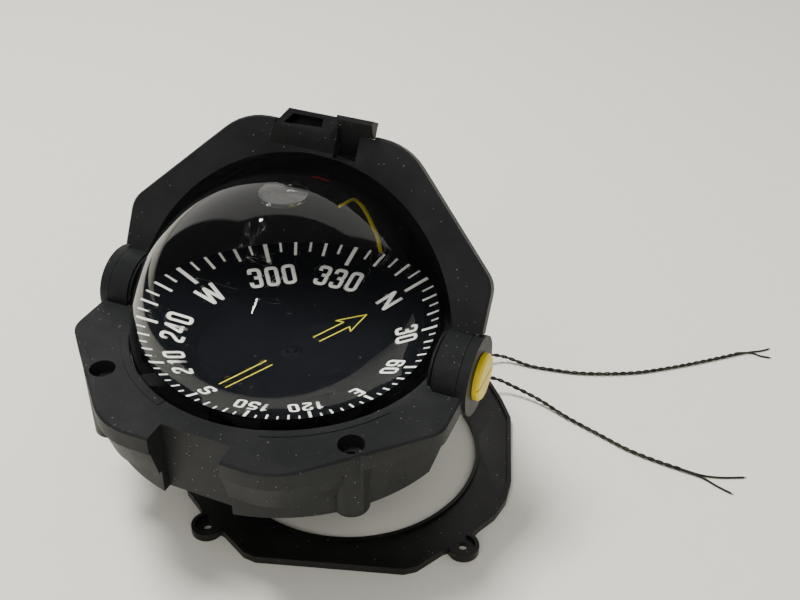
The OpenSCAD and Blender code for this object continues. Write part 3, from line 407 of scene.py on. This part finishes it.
MAT = {
    "bezel_plastic": moulded("bezel plastic", (0.0145, 0.0152, 0.016), (0.03, 0.031, 0.0315), 0.52, specks=0.1,
                             scratches=0.4, wear=0.4, depth=0.00006, level=0.2),
    "ring_plastic": moulded("ring plastic", (0.007, 0.0068, 0.0066), (0.03, 0.029, 0.027), 0.4, specks=0.12,
                            scratches=0.3, wear=0.35, depth=0.00005, level=0.3),
    "bowl_plastic": moulded("bowl plastic", (0.018, 0.018, 0.019), (0.04, 0.04, 0.04), 0.45, specks=0.05,
                            scratches=0.15, wear=0.3),
    "dome_clear": make_dome_material(),
    "seal_rubber": moulded("seal rubber", (0.012, 0.012, 0.012), (0.03, 0.03, 0.03), 0.7, specks=0.03,
                           scratches=0.05, wear=0.4, depth=0.00004, level=0.3),
    "gland_nylon": moulded("gland nylon", (0.014, 0.014, 0.014), (0.04, 0.04, 0.04), 0.45, specks=0.05,
                           scratches=0.1, wear=0.3),
    "brass": metal("brass", (0.62, 0.43, 0.16), 0.3),
    "fibre": moulded("red fibre", (0.36, 0.07, 0.04), (0.2, 0.05, 0.03), 0.75, specks=0.0, scratches=0.1, wear=0.5),
    "steel": metal("steel", (0.55, 0.56, 0.57), 0.3),
    "magnet": metal("magnet", (0.22, 0.22, 0.23), 0.5),
    "yellow_plastic": moulded("yellow plastic", (0.8, 0.6, 0.012), (0.6, 0.44, 0.02), 0.36, specks=0.04,
                              scratches=0.25, wear=0.35, depth=0.00002, speck=(0.05, 0.045, 0.03), level=0.3),
    "card_black": moulded("card ink", (0.0034, 0.0042, 0.0055), (0.008, 0.009, 0.011), 0.6, specks=0.01,
                          scratches=0.05, wear=0.3, depth=0.00001, level=0.1),
    "float_white": moulded("white moulding", (0.62, 0.61, 0.56), (0.5, 0.48, 0.43), 0.45, specks=0.0,
                           scratches=0.1, wear=0.3),
    "lens_red": make_clear("red lens", (0.6, 0.04, 0.025)),
    "bulb_glass": make_clear("bulb glass", (0.95, 0.93, 0.85)),
    "wire_black": moulded("wire sleeve", (0.013, 0.0115, 0.009), (0.05, 0.042, 0.03), 0.32, specks=0.03,
                          scratches=0.2, wear=0.45, depth=0.00002),
}
PRINT_RELIEF = 0.000005
MARK_WHITE = moulded("white print", (0.95, 0.945, 0.88), (0.8, 0.79, 0.7), 0.5, specks=0.0, scratches=0.1, wear=0.3,
                     depth=PRINT_RELIEF)
MARK_YELLOW = moulded("yellow print", (0.85, 0.74, 0.05), (0.7, 0.6, 0.05), 0.5, specks=0.0, scratches=0.1,
                      wear=0.3, depth=PRINT_RELIEF)
LUBBER_YELLOW = moulded("lubber yellow", (0.66, 0.56, 0.03), (0.34, 0.27, 0.02), 0.45, specks=0.0, scratches=0.1,
                        wear=0.3)
COPPER = metal("tinned copper", (0.6, 0.42, 0.28), 0.35)
# Brass darkened almost to black: painted shade for the small brass parts that sit deep inside the dark bowl.
PAINTED_SHADE_BRASS = moulded("brass in painted shade", (0.008, 0.0075, 0.006), (0.02, 0.017, 0.012), 0.6, specks=0.0, scratches=0.1,
                  wear=0.3, level=0.2)

for row in frame["record"]["subparts"]:
    NODES[row["node"]].data.materials.clear()
    NODES[row["node"]].data.materials.append(MAT[row["material_slot"]])
# Painted shade: the gimbal ring, counterweight and jewel cup get the near-black brass where they sit deep in the
# bowl.
for name in ("gimbal_ring", "counterweight", "jewel_cup"):
    NODES[name].data.materials[0] = PAINTED_SHADE_BRASS


# Piece helpers --------------------------------------------------------------

# Distances in metres under which two vertices are one
SAME_PLACE = 1e-6
SAME_PLACE_SOLID = 2e-6
SAME_PLACE_PRINT = 1e-7

SMOOTH_ANGLE = 35.0
FLAT_ANGLE = 0.5
EDGE_ANGLE = 32.0


def piece(name, bm, body, slot, material=None, smooth=SMOOTH_ANGLE):
    """An object made of a bmesh, riding on a body."""
    mesh = bpy.data.meshes.new(name)
    bm.to_mesh(mesh)
    bm.free()
    mesh.materials.append(material or MAT[slot])
    made = bpy.data.objects.new(name, mesh)
    bpy.context.scene.collection.objects.link(made)
    if smooth:
        mesh.shade_smooth()
        mesh.set_sharp_from_angle(angle=math.radians(smooth))
    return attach(made, body)


def add_box(bm, size, place):
    """A box of a size in millimetres, put in place by a matrix in millimetres."""
    grow = Matrix.Diagonal((*size, 1.0))
    bmesh.ops.create_cube(bm, size=1.0, matrix=Matrix.Scale(MM, 4) @ place @ grow)


def turned(bm, profile, steps):
    """A profile of (radius, height over the dome's centre) from axis to axis, spun about the dome's axis."""
    verts = [bm.verts.new(mm(r, 0, z)) for r, z in profile]
    edges = [bm.edges.new((a, b)) for a, b in zip(verts, verts[1:])]
    bmesh.ops.spin(bm, geom=verts + edges, cent=(0, 0, 0), axis=(0, 0, 1), angle=2 * math.pi,
                   steps=steps, use_merge=True, use_duplicate=False)
    bmesh.ops.remove_doubles(bm, verts=bm.verts[:], dist=SAME_PLACE)
    bmesh.ops.recalc_face_normals(bm, faces=bm.faces[:])
    bmesh.ops.translate(bm, vec=mm(0, 0, CENTRE_H), verts=bm.verts[:])


def arc(radius, start, end, steps):
    """Points (x, z) of an arc in millimetres, angles in degrees from +X up."""
    turns = [math.radians(start + (end - start) * k / steps) for k in range(steps + 1)]
    return [(radius * math.cos(a), radius * math.sin(a)) for a in turns]


def rounded(source, body, slot, width, segments):
    """A copy of a solid part with its sharp edges rounded, which stands for it."""
    bm = bmesh.new()
    bm.from_mesh(NODES[source].data)
    bmesh.ops.remove_doubles(bm, verts=bm.verts[:], dist=SAME_PLACE_SOLID)
    bmesh.ops.dissolve_limit(bm, angle_limit=math.radians(FLAT_ANGLE), use_dissolve_boundaries=False,
                             verts=bm.verts[:], edges=bm.edges[:])
    made = piece(source + "_rounded", bm, body, slot)
    ease = made.modifiers.new("ease", "BEVEL")
    ease.width, ease.segments = width * MM, segments
    ease.limit_method, ease.angle_limit = "ANGLE", math.radians(EDGE_ANGLE)
    ease.use_clamp_overlap, ease.miter_outer, ease.harden_normals = True, "MITER_ARC", True
    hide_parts(source)


def poly_line(data, points):
    """An open polyline in a curve, through points in the curve's own unit."""
    line = data.splines.new("POLY")
    line.points.add(len(points) - 1)
    for spot, p in zip(line.points, points):
        spot.co = (*p, 1.0)
    return line


def round_pen(name, radius):
    """An empty curve that draws its lines round, with closed ends."""
    data = bpy.data.curves.new(name, "CURVE")
    data.dimensions = "3D"
    data.bevel_depth, data.bevel_resolution, data.use_fill_caps = radius, 2, True
    return data


# Wires ----------------------------------------------------------------------

TWIST_R = 0.53
STRAND_R = 0.52
HALF_TWIST = 4.4
CORE_R, CORE_IN, CORE_OUT = 0.3, 1.0, 1.2
LEAD_STEP, TAIL_STEP = 0.55, 0.8
TAIL_BACK = 8
GLAND_TURN, GLAND_SLOPE, GLAND_END = 12.0, 50.0, 78.0
PAIR_OFF = 1.3
STRAIGHT = 4.0
UPPER_POINTS = [(54.5, 18, 9), (57, 28, 7.3), (57, 41, 7.3), (56, 53, 9), (56, 65, 11.5), (57.5, 78, 12),
                (60.5, 91, 9.2), (65, 101, 6.5), (74, 107, 3.6), (88, 108, 1.2), (102, 110, 1.1),
                (115, 113, 1.1), (130, 119, 1.1), (145, 127, 1.1), (160, 138, 1.1), (174, 149.5, 1.1),
                (186, 160, 1.1), (196, 169, 1.1)]
LOWER_POINTS = [(56, 13, 8.9), (61, 20, 7.3), (64, 30, 7.1), (65, 42, 7.3), (66, 53, 9), (68, 64, 11),
                (71, 73, 11.5), (76, 80, 9.4), (87, 82, 5.6), (102, 80, 3), (118, 74.5, 1.4),
                (136.5, 68.5, 1.1), (152, 63.5, 1.1), (168, 61, 1.1), (183, 60, 1.1)]
UPPER_TAILS = [[(200, 171.5, 0.8), (205, 175, 0.6), (209, 179, 0.6)],
               [(200, 170.5, 0.8), (205, 170, 0.6), (210, 170.5, 0.6)]]
LOWER_TAILS = [[(189, 60.5, 0.8), (198, 63, 0.6), (208, 67.5, 0.6)],
               [(189, 59, 0.8), (197, 56, 0.6), (204, 54, 0.6)]]


def smooth_route(points, steps):
    """Points of a Catmull-Rom curve through a route."""
    found = []
    last = len(points) - 1
    for i in range(last):
        a, b, c, d = (Vector(points[k]) for k in (max(i - 1, 0), i, i + 1, min(i + 2, last)))
        for k in range(steps):
            t = k / steps
            found.append(0.5 * (2 * b + (c - a) * t + (2 * a - 5 * b + 4 * c - d) * t * t
                                + (3 * b - a - 3 * c + d) * t ** 3))
    return found + [Vector(points[-1])]


def even_route(points, step):
    """The same route with points a fixed distance apart."""
    found, left = [points[0]], step
    for a, b in zip(points, points[1:]):
        span, done = (b - a).length, 0.0
        while span - done >= left:
            done += left
            found.append(a.lerp(b, done / span))
            left = step
        left -= span - done
    return found


def strand_curve(name, points, radius):
    """A round wire along points in millimetres, as a curve of one open spline."""
    data = round_pen(name, radius * MM)
    poly_line(data, [p * MM for p in points])
    made = bpy.data.objects.new(name, data)
    bpy.context.scene.collection.objects.link(made)
    return made


def twisted(line, side):
    """One strand's middle about a pair's line. Side 0 or 1 tells which of the two."""
    points = []
    for i, p in enumerate(line):
        ahead = (line[min(i + 1, len(line) - 1)] - line[max(i - 1, 0)]).normalized()
        across = ahead.cross(Vector((0, 0, 1))).normalized()
        over = across.cross(ahead)
        angle = math.pi * (i * LEAD_STEP / HALF_TWIST + side)
        points.append(p + TWIST_R * (math.cos(angle) * across + math.sin(angle) * over))
    return points


def make_lead(name, route, tails):
    """Two strands twisted about the route, then parted to their bare ends."""
    line = even_route(smooth_route(route, 12), LEAD_STEP)
    for side, tail in enumerate(tails):
        points = twisted(line, side)
        free = even_route(smooth_route([tuple(points[-TAIL_BACK]), *tail], 8), TAIL_STEP)
        whole = points[:-TAIL_BACK] + free
        wire = strand_curve(f"{name}_strand_{side + 1}", whole, STRAND_R)
        wire.data.materials.append(MAT["wire_black"])
        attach(wire, "base")
        end = free[-1]
        heading = (free[-1] - free[-3]).normalized()
        core = strand_curve(f"{name}_core_{side + 1}", [end - heading * CORE_IN, end + heading * CORE_OUT], CORE_R)
        core.data.materials.append(COPPER)
        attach(core, "base")
        if side == 0:
            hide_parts(name)


def lead_routes():
    """Both pairs' routes, from the gland's face, where they leave side by side."""
    turn, slope = math.radians(GLAND_TURN), math.radians(GLAND_SLOPE)
    out = Vector((math.cos(slope) * math.cos(turn), math.cos(slope) * math.sin(turn), -math.sin(slope)))
    side = Vector((-math.sin(turn), math.cos(turn), 0))
    face = out * GLAND_END + Vector((0, 0, CENTRE_H))
    for points, way in ((UPPER_POINTS, 1), (LOWER_POINTS, -1)):
        start = face + way * PAIR_OFF * side
        yield [tuple(start), tuple(start + STRAIGHT * out)] + points


UPPER_ROUTE, LOWER_ROUTE = lead_routes()
make_lead("lead_upper", UPPER_ROUTE, UPPER_TAILS)
make_lead("lead_lower", LOWER_ROUTE, LOWER_TAILS)


# Dome and bubble ------------------------------------------------------------

# How far the liquid runs into the bowl's wall and the flange's seat
LIQUID_LAP = 1.0
FLANGE_LAP = 0.05
BUBBLE_R = 10.2
BUBBLE_DOWN = 2.0
# The bubble's underside: steps out from its radius and down from its rim, then its lowest point
BUBBLE_UNDER = ((0.6, -0.8), (0.3, -2.0), (-1.4, -3.3), (-4.0, -4.1))
BUBBLE_DEPTH = 4.5


def bubble_mesh():
    """The hollow that an air bubble leaves under the dome's top, its faces turned inwards."""
    top_r = DOME_R - BUBBLE_DOWN
    cap = arc(top_r, 90, math.degrees(math.acos(BUBBLE_R / top_r)), 8)
    rim_z = cap[-1][1]
    bubble = bmesh.new()
    turned(bubble, cap + [(BUBBLE_R + out, rim_z + up) for out, up in BUBBLE_UNDER] + [(0.0, rim_z - BUBBLE_DEPTH)],
           steps=64)
    bmesh.ops.reverse_faces(bubble, faces=bubble.faces[:])
    hollow = bpy.data.meshes.new("hollow")
    bubble.to_mesh(hollow)
    bubble.free()
    return hollow


def make_dome():
    """The dome, its flange and the liquid down to the bowl's wall, with an air bubble at the top."""
    low_r = BOWL_IN + LIQUID_LAP
    floor = FLOOR_Z - LIQUID_LAP
    start = math.degrees(math.asin(BOWL_RIM / low_r))
    stop = math.degrees(math.asin(floor / low_r))
    seat = FLANGE_UNDER - FLANGE_LAP
    profile = [(0.0, DOME_R)] + arc(DOME_R, 89, 0, 60)
    profile += [(DOME_R, FLANGE_TOP), (FLANGE_R, FLANGE_TOP), (FLANGE_R, seat), (FLANGE_R - FLANGE_W, seat),
                (FLANGE_R - FLANGE_W, BOWL_RIM)]
    profile += arc(low_r, start, stop, 24) + [(0.0, floor)]
    bm = bmesh.new()
    turned(bm, profile, steps=160)
    bm.from_mesh(bubble_mesh())
    made = piece("liquid_dome", bm, "base", "dome_clear", smooth=40.0)
    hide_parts("dome")


make_dome()


# Card -----------------------------------------------------------------------

CARD_STEEPNESS = CARD_RISE / (CARD_R - CARD_FLAT_R)
PRINT_T = 0.12
PRINT_OFF = 0.03
LABEL_OFF = 0.05
LABEL_R = 35.1
LINE_W = 0.3
TICK_OUT = 45.9
# Every so many degrees, a tick with this inner end and width
TICKS = ((30, 40.0, 1.05), (10, 41.9, 0.75), (5, 43.1, 0.6))


def card_height(radius):
    """Height of the card's top face over the dome's centre, in millimetres."""
    return CARD_TOP + max(0.0, radius - CARD_FLAT_R) * CARD_STEEPNESS


def on_card(bearing, radius):
    """The place on the card at a bearing and radius: +X outwards along its slope, +Z off its face."""
    lean = math.atan(CARD_STEEPNESS) if radius > CARD_FLAT_R else 0.0
    return (Matrix.Translation((0, 0, CENTRE_H)) @ Matrix.Rotation(math.radians(NORTH_TURN - bearing), 4, "Z")
            @ Matrix.Translation((radius, 0, card_height(radius) + PRINT_OFF)) @ Matrix.Rotation(-lean, 4, "Y"))


def make_ticks():
    """A tick every 5 degrees: long and bold each 30, middling each 10, short between."""
    bm = bmesh.new()
    for bearing in range(0, 360, 5):
        inner, width = next((i, w) for step, i, w in TICKS if bearing % step == 0)
        add_box(bm, (TICK_OUT - inner, width, PRINT_T), on_card(bearing, (TICK_OUT + inner) / 2))
    piece("card_ticks", bm, "card", "float_white", MARK_WHITE, smooth=None)


make_ticks()


# Centre lines of the card's figures and letters, one across and two high
GLYPHS = {
    "0": [[(0, 0), (1, 0), (1, 2), (0, 2), (0, 0)]],
    "1": [[(0.1, 1.6), (0.6, 2), (0.6, 0)]],
    "2": [[(0, 1.4), (0, 2), (1, 2), (1, 1.15), (0, 0.45), (0, 0), (1, 0)]],
    "3": [[(0, 1.5), (0, 2), (1, 2), (1, 1.05), (0.35, 1.05)], [(0.35, 1.05), (1, 1.05), (1, 0), (0, 0), (0, 0.5)]],
    "4": [[(0.8, 0), (0.8, 2), (0, 0.5), (1.1, 0.5)]],
    "5": [[(1, 2), (0, 2), (0, 1.15), (1, 1.15), (1, 0), (0, 0), (0, 0.5)]],
    "6": [[(1, 1.55), (1, 2), (0, 2), (0, 0), (1, 0), (1, 1.15), (0, 1.15)]],
    "N": [[(0, 0), (0, 2), (1.4, 0), (1.4, 2)]],
    "E": [[(1.05, 2), (0, 2), (0, 0), (1.05, 0)], [(0, 1), (0.9, 1)]],
    "S": [[(1.1, 1.5), (1.1, 2), (0, 2), (0, 1.05), (1.1, 0.95), (1.1, 0), (0, 0), (0, 0.5)]],
    "W": [[(0, 2.1), (0.5, 0), (1.05, 1.9), (1.6, 0), (2.1, 2.1)]],
}
QUARTERS = {0: "N", 90: "E", 180: "S", 270: "W"}
SHARP = "14NEW"
SHARP_CORNER, ROUND_CORNER = 0.3, 1.0
GLYPH_W, GLYPH_H, GLYPH_STEP, STROKE_W = 2.6, 3.0, 4.6, 1.15


def eased(points, radius):
    """A path with its corners rounded. One that ends where it starts is taken as closed."""
    closed = points[0] == points[-1]
    ring = [Vector(p) for p in (points[:-1] if closed else points)]
    found = []
    for i, p in enumerate(ring):
        if not closed and i in (0, len(ring) - 1):
            found.append(p)
            continue
        back, ahead = ring[i - 1] - p, ring[(i + 1) % len(ring)] - p
        reach = min(radius, back.length / 2, ahead.length / 2)
        a, b = p + back.normalized() * reach, p + ahead.normalized() * reach
        found += [a * (1 - t) ** 2 + p * 2 * t * (1 - t) + b * t * t for t in (0, 0.2, 0.4, 0.6, 0.8, 1)]
    return found, closed


def label_curve(label):
    """A figure or word drawn with a broad round pen, in millimetres about its middle."""
    data = round_pen("label", STROKE_W / 2)
    for k, sign in enumerate(label):
        wide = max(x for path in GLYPHS[sign] for x, _ in path)
        shift = (k - (len(label) - 1) / 2) * GLYPH_STEP - wide / 2 * GLYPH_W
        for path in GLYPHS[sign]:
            points = [(x * GLYPH_W + shift, (y - 1) * GLYPH_H, 0) for x, y in path]
            stroke, closed = eased(points, SHARP_CORNER if sign in SHARP else ROUND_CORNER)
            poly_line(data, stroke).use_cyclic_u = closed
    return data


def make_numbers():
    """The card's figures and letters, with their tops outwards, pressed flat onto it."""
    upright = Matrix.Rotation(-math.pi / 2, 4, "Z")
    for bearing in range(0, 360, 30):
        label = QUARTERS.get(bearing, str(bearing))
        text = bpy.data.objects.new("label", label_curve(label))
        bpy.context.scene.collection.objects.link(text)
        bpy.context.view_layer.update()
        mesh = bpy.data.meshes.new_from_object(text.evaluated_get(bpy.context.evaluated_depsgraph_get()))
        bpy.data.objects.remove(text)
        bm = bmesh.new()
        bm.from_mesh(mesh)
        lifts = [v.co.z * PRINT_T / STROKE_W for v in bm.verts]
        place = Matrix.Scale(MM, 4) @ on_card(bearing, LABEL_R) @ upright
        bmesh.ops.transform(bm, matrix=place, verts=bm.verts[:])
        for v, lift in zip(bm.verts, lifts):
            v.co.z = (CENTRE_H + card_height(math.hypot(v.co.x, v.co.y) / MM) + LABEL_OFF + lift) * MM
        bmesh.ops.remove_doubles(bm, verts=bm.verts[:], dist=SAME_PLACE_PRINT)
        piece(f"card_label_{bearing}", bm, "card", "float_white", MARK_WHITE, smooth=None)


make_numbers()


def add_line(bm, a, b, place):
    """A printed line from a to b on the card's flat middle, a little past both."""
    span = Vector((b[0] - a[0], b[1] - a[1], 0))
    turn = math.atan2(span.y, span.x)
    middle = Matrix.Translation(((a[0] + b[0]) / 2, (a[1] + b[1]) / 2, 0)) @ Matrix.Rotation(turn, 4, "Z")
    add_box(bm, (span.length + LINE_W * 0.8, LINE_W, PRINT_T), place @ middle)


def make_arrow():
    """The outlined arrow through the card's middle, pointing north, open where it crosses the middle."""
    half, head_half = 1.45, 3.6
    tail, tail_end, shaft, neck, head_base, tip = -28.3, -9.0, 9.5, 20.6, 19.3, 27.6
    place = (Matrix.Translation((0, 0, CENTRE_H + CARD_TOP + PRINT_OFF))
             @ Matrix.Rotation(math.radians(NORTH_TURN), 4, "Z"))
    bm = bmesh.new()
    for side in (-1, 1):
        add_line(bm, (tail, side * half), (tail_end, side * half), place)
        add_line(bm, (shaft, side * half), (neck, side * half), place)
        add_line(bm, (neck, side * half), (head_base, side * head_half), place)
        add_line(bm, (head_base, side * head_half), (tip, 0), place)
    piece("card_arrow", bm, "card", "yellow_plastic", MARK_YELLOW, smooth=None)


make_arrow()

# Radius and height over the card's flat middle
BOSS = ((0.0, 0.9), (1.2, 0.8), (1.7, 0.3), (3.0, 0.15), (3.4, 0.02), (0.0, 0.02))


def make_card_centre():
    """The small boss and ring at the card's middle."""
    bm = bmesh.new()
    turned(bm, [(r, CARD_TOP + z) for r, z in BOSS], steps=40)
    piece("card_boss", bm, "card", "card_black")


make_card_centre()


# Lubber line -----------------------------------------------------------------

LUBBER_R = 0.42
LUBBER_ROUTE = ((0, 12, -27.5), (0, 12.5, -26), (0, 15, -24.5), (0, 24, -23), (0, 36, -21), (0, 45, -18),
                (0, 48, -13), (0, 48, -8.8), (0, 47.4, -4), (0, 46, 1.2), (0, 44.6, 6.5), (0, 43.1, 11.5),
                (0, 41.3, 16), (0, 40.2, 17.8), (0, 38.4, 19.2), (0, 33.6, 21.9))


def make_lubber():
    """The bent yellow wire that marks the heading."""
    points = [p + Vector((0, 0, CENTRE_H)) for p in smooth_route(LUBBER_ROUTE, 4)]
    wire = strand_curve("lubber_wire", points, LUBBER_R)
    wire.data.bevel_resolution = 4
    wire.data.materials.append(LUBBER_YELLOW)
    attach(wire, "cradle")
    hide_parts("lubber_line")


make_lubber()


# Bezel, hood, ring and caps -------------------------------------------------------

# Each solid part with its body, slot, edge radius in millimetres and the facets of its edges
for source, body, slot, width, segments in (
        ("bezel_ring", "base", "bezel_plastic", 0.4, 2),
        ("hood", "hood", "bezel_plastic", 0.3, 2),
        ("lamp_housing", "hood", "bezel_plastic", 0.35, 2),
        ("mounting_ring", "loose_ring", "ring_plastic", 0.45, 2),
        ("hub_cap_left", "cap_left", "yellow_plastic", 0.3, 3),
        ("hub_cap_right", "cap_right", "yellow_plastic", 0.3, 3)):
    rounded(source, body, slot, width, segments)

STEP_IN, STEP_OUT = OPENING_R + 0.15, 74.9
STEP_LOW, STEP_HIGH = BEZEL_TOP - 0.3, BEZEL_TOP + 0.4
STEP_EASE = 0.2
# The bearings of each step's two ends
BEZEL_STEPS = {"right": (-72.0, -30.0), "left": (-150.0, -108.0)}


def make_bezel_steps():
    """Two low raised steps beside the opening at the front, each spun from its end face."""
    corners = ((STEP_IN, STEP_LOW), (STEP_OUT, STEP_LOW), (STEP_OUT, STEP_HIGH), (STEP_IN, STEP_HIGH))
    for name, (start, end) in BEZEL_STEPS.items():
        bm = bmesh.new()
        verts = [bm.verts.new(mm(r, 0, CENTRE_H + z)) for r, z in corners]
        face = bm.faces.new(verts)
        to_start = Matrix.Rotation(math.radians(start), 4, "Z")
        bmesh.ops.transform(bm, matrix=to_start, verts=verts)
        bmesh.ops.spin(bm, geom=[*verts, *face.edges, face], cent=(0, 0, 0), axis=(0, 0, 1),
                       angle=math.radians(end - start), steps=24, use_merge=False, use_duplicate=False)
        bmesh.ops.recalc_face_normals(bm, faces=bm.faces[:])
        made = piece(f"bezel_step_{name}", bm, "base", "bezel_plastic")
        ease = made.modifiers.new("ease", "BEVEL")
        ease.width, ease.segments, ease.limit_method = STEP_EASE * MM, 2, "ANGLE"


make_bezel_steps()


# Room -------------------------------------------------------------------------

# Metres, and linear colours
TABLE_HALF = 3.0
TABLE_WHITE, TABLE_SHADE = (0.9, 0.885, 0.8, 1), (0.86, 0.845, 0.76, 1)
TABLE_GONE = (0.02, 0.02, 0.02, 1)
TABLE_GRAIN = 90.0
TABLE_ROUGHNESS = 0.6
LEFT_FADE, FRONT_FADE = (0.44, 0.5), (0.38, 0.44)
WALL_OFF = 0.369
WALL_ACROSS = Vector((-0.309, 0.951, 0.0))
WALL_ALONG = Vector((0.951, 0.309, 0.0))
WALL_STEEPNESS, WALL_WIDTH, WALL_FADE = 1.73, 1.15, 0.06
WALL_PALE, ROOM_DARK = (0.9, 0.89, 0.84, 1), (0.03, 0.03, 0.032, 1)
SOFT_SKY = (0.47, 0.465, 0.44, 1)

LIGHT_COLOUR = (1.0, 0.99, 0.96)
SHINE_OFF = 1.4
# Name, place, width, length and watts
SOFT_LIGHTS = (("key", (-0.6, 0.1, 1.6), 0.5, 0.5, 37.0), ("window", (-0.1, -1.1, 0.95), 0.35, 0.35, 2.0),
               ("fill", (0.9, -0.9, 1.4), 1.0, 1.0, 4.0))
# Name, bearing and height in degrees from the dome's centre, width, length and watts
SHINES = (("spark", 144.9, 59.8, 0.055, 0.04, 0.45), ("strip", -95.4, 46.8, 0.034, 0.26, 1.3))


def is_mirrored(tree):
    """One where a shining surface looks, nought elsewhere."""
    return tree.nodes.new("ShaderNodeLightPath").outputs["Is Glossy Ray"]


def make_table():
    """A plain white table. What shines mirrors it only as far as a table top reaches."""
    bm = bmesh.new()
    bmesh.ops.create_grid(bm, x_segments=1, y_segments=1, size=TABLE_HALF)
    mesh = bpy.data.meshes.new("table")
    bm.to_mesh(mesh)
    bm.free()
    floor = bpy.data.objects.new("table", mesh)
    bpy.context.scene.collection.objects.link(floor)
    material, tree, shader, place = new_material("table")
    pale = blend(tree, noise(tree, place, TABLE_GRAIN, 4.0, 0.6), TABLE_WHITE, TABLE_SHADE)
    left = ramp(tree, dot(tree, place, (-1, 0, 0)), *LEFT_FADE)
    front = ramp(tree, dot(tree, place, (0, -1, 0)), *FRONT_FADE)
    behind = ramp(tree, dot(tree, place, WALL_ACROSS), WALL_OFF - 0.02, WALL_OFF, 1.0, 0.0)
    beyond = sums(tree, "MULTIPLY", sums(tree, "MAXIMUM", left, front), behind)
    unseen = sums(tree, "MULTIPLY", beyond, is_mirrored(tree))
    tree.links.new(blend(tree, unseen, pale, TABLE_GONE), shader.inputs["Base Color"])
    shader.inputs["Roughness"].default_value = TABLE_ROUGHNESS
    mesh.materials.append(material)


def make_sky():
    """Even soft light. What shines mirrors a dark room with a pale wall behind the compass."""
    world = bpy.data.worlds.new("studio")
    bpy.context.scene.world = world
    world.use_nodes = True
    tree = world.node_tree
    way = tree.nodes.new("ShaderNodeTexCoord").outputs["Generated"]
    away = dot(tree, way, WALL_ACROSS)
    under = sums(tree, "SUBTRACT", sums(tree, "MULTIPLY", away, WALL_STEEPNESS), dot(tree, way, (0, 0, 1)))
    side = sums(tree, "ABSOLUTE", dot(tree, way, WALL_ALONG))
    beside = sums(tree, "SUBTRACT", sums(tree, "MULTIPLY", away, WALL_WIDTH), side)
    on_wall = sums(tree, "MULTIPLY", ramp(tree, under, 0.0, WALL_FADE), ramp(tree, beside, 0.0, WALL_FADE))
    wall = blend(tree, on_wall, ROOM_DARK, WALL_PALE)
    colour = blend(tree, is_mirrored(tree), SOFT_SKY, wall)
    tree.links.new(colour, tree.nodes["Background"].inputs["Color"])


def add_light(name, spot, wide, long, power, middle, shines):
    """An area light that faces the middle. One that shines only shows as a reflection."""
    light = bpy.data.lights.new(name, "AREA")
    light.shape, light.size, light.size_y = "RECTANGLE", wide, long
    light.energy, light.color = power, LIGHT_COLOUR
    lamp = bpy.data.objects.new(name, light)
    lamp.location = spot
    lamp.rotation_euler = (spot - middle).to_track_quat("Z", "Y").to_euler()
    lamp.visible_glossy, lamp.visible_diffuse = shines, not shines
    bpy.context.scene.collection.objects.link(lamp)


def make_lights():
    """Three soft lights that nothing mirrors, and two small ones that only show as reflections."""
    middle = Vector((0, 0, CENTRE_H * MM))
    for name, spot, wide, long, power in SOFT_LIGHTS:
        add_light(name, Vector(spot), wide, long, power, middle, False)
    for name, bearing, height, wide, long, power in SHINES:
        turn, tilt = math.radians(bearing), math.radians(height)
        way = Vector((math.cos(turn), math.sin(turn), 0)) * math.cos(tilt) + Vector((0, 0, math.sin(tilt)))
        add_light(name, middle + way * SHINE_OFF, wide, long, power, middle, True)


make_table()
make_sky()
make_lights()
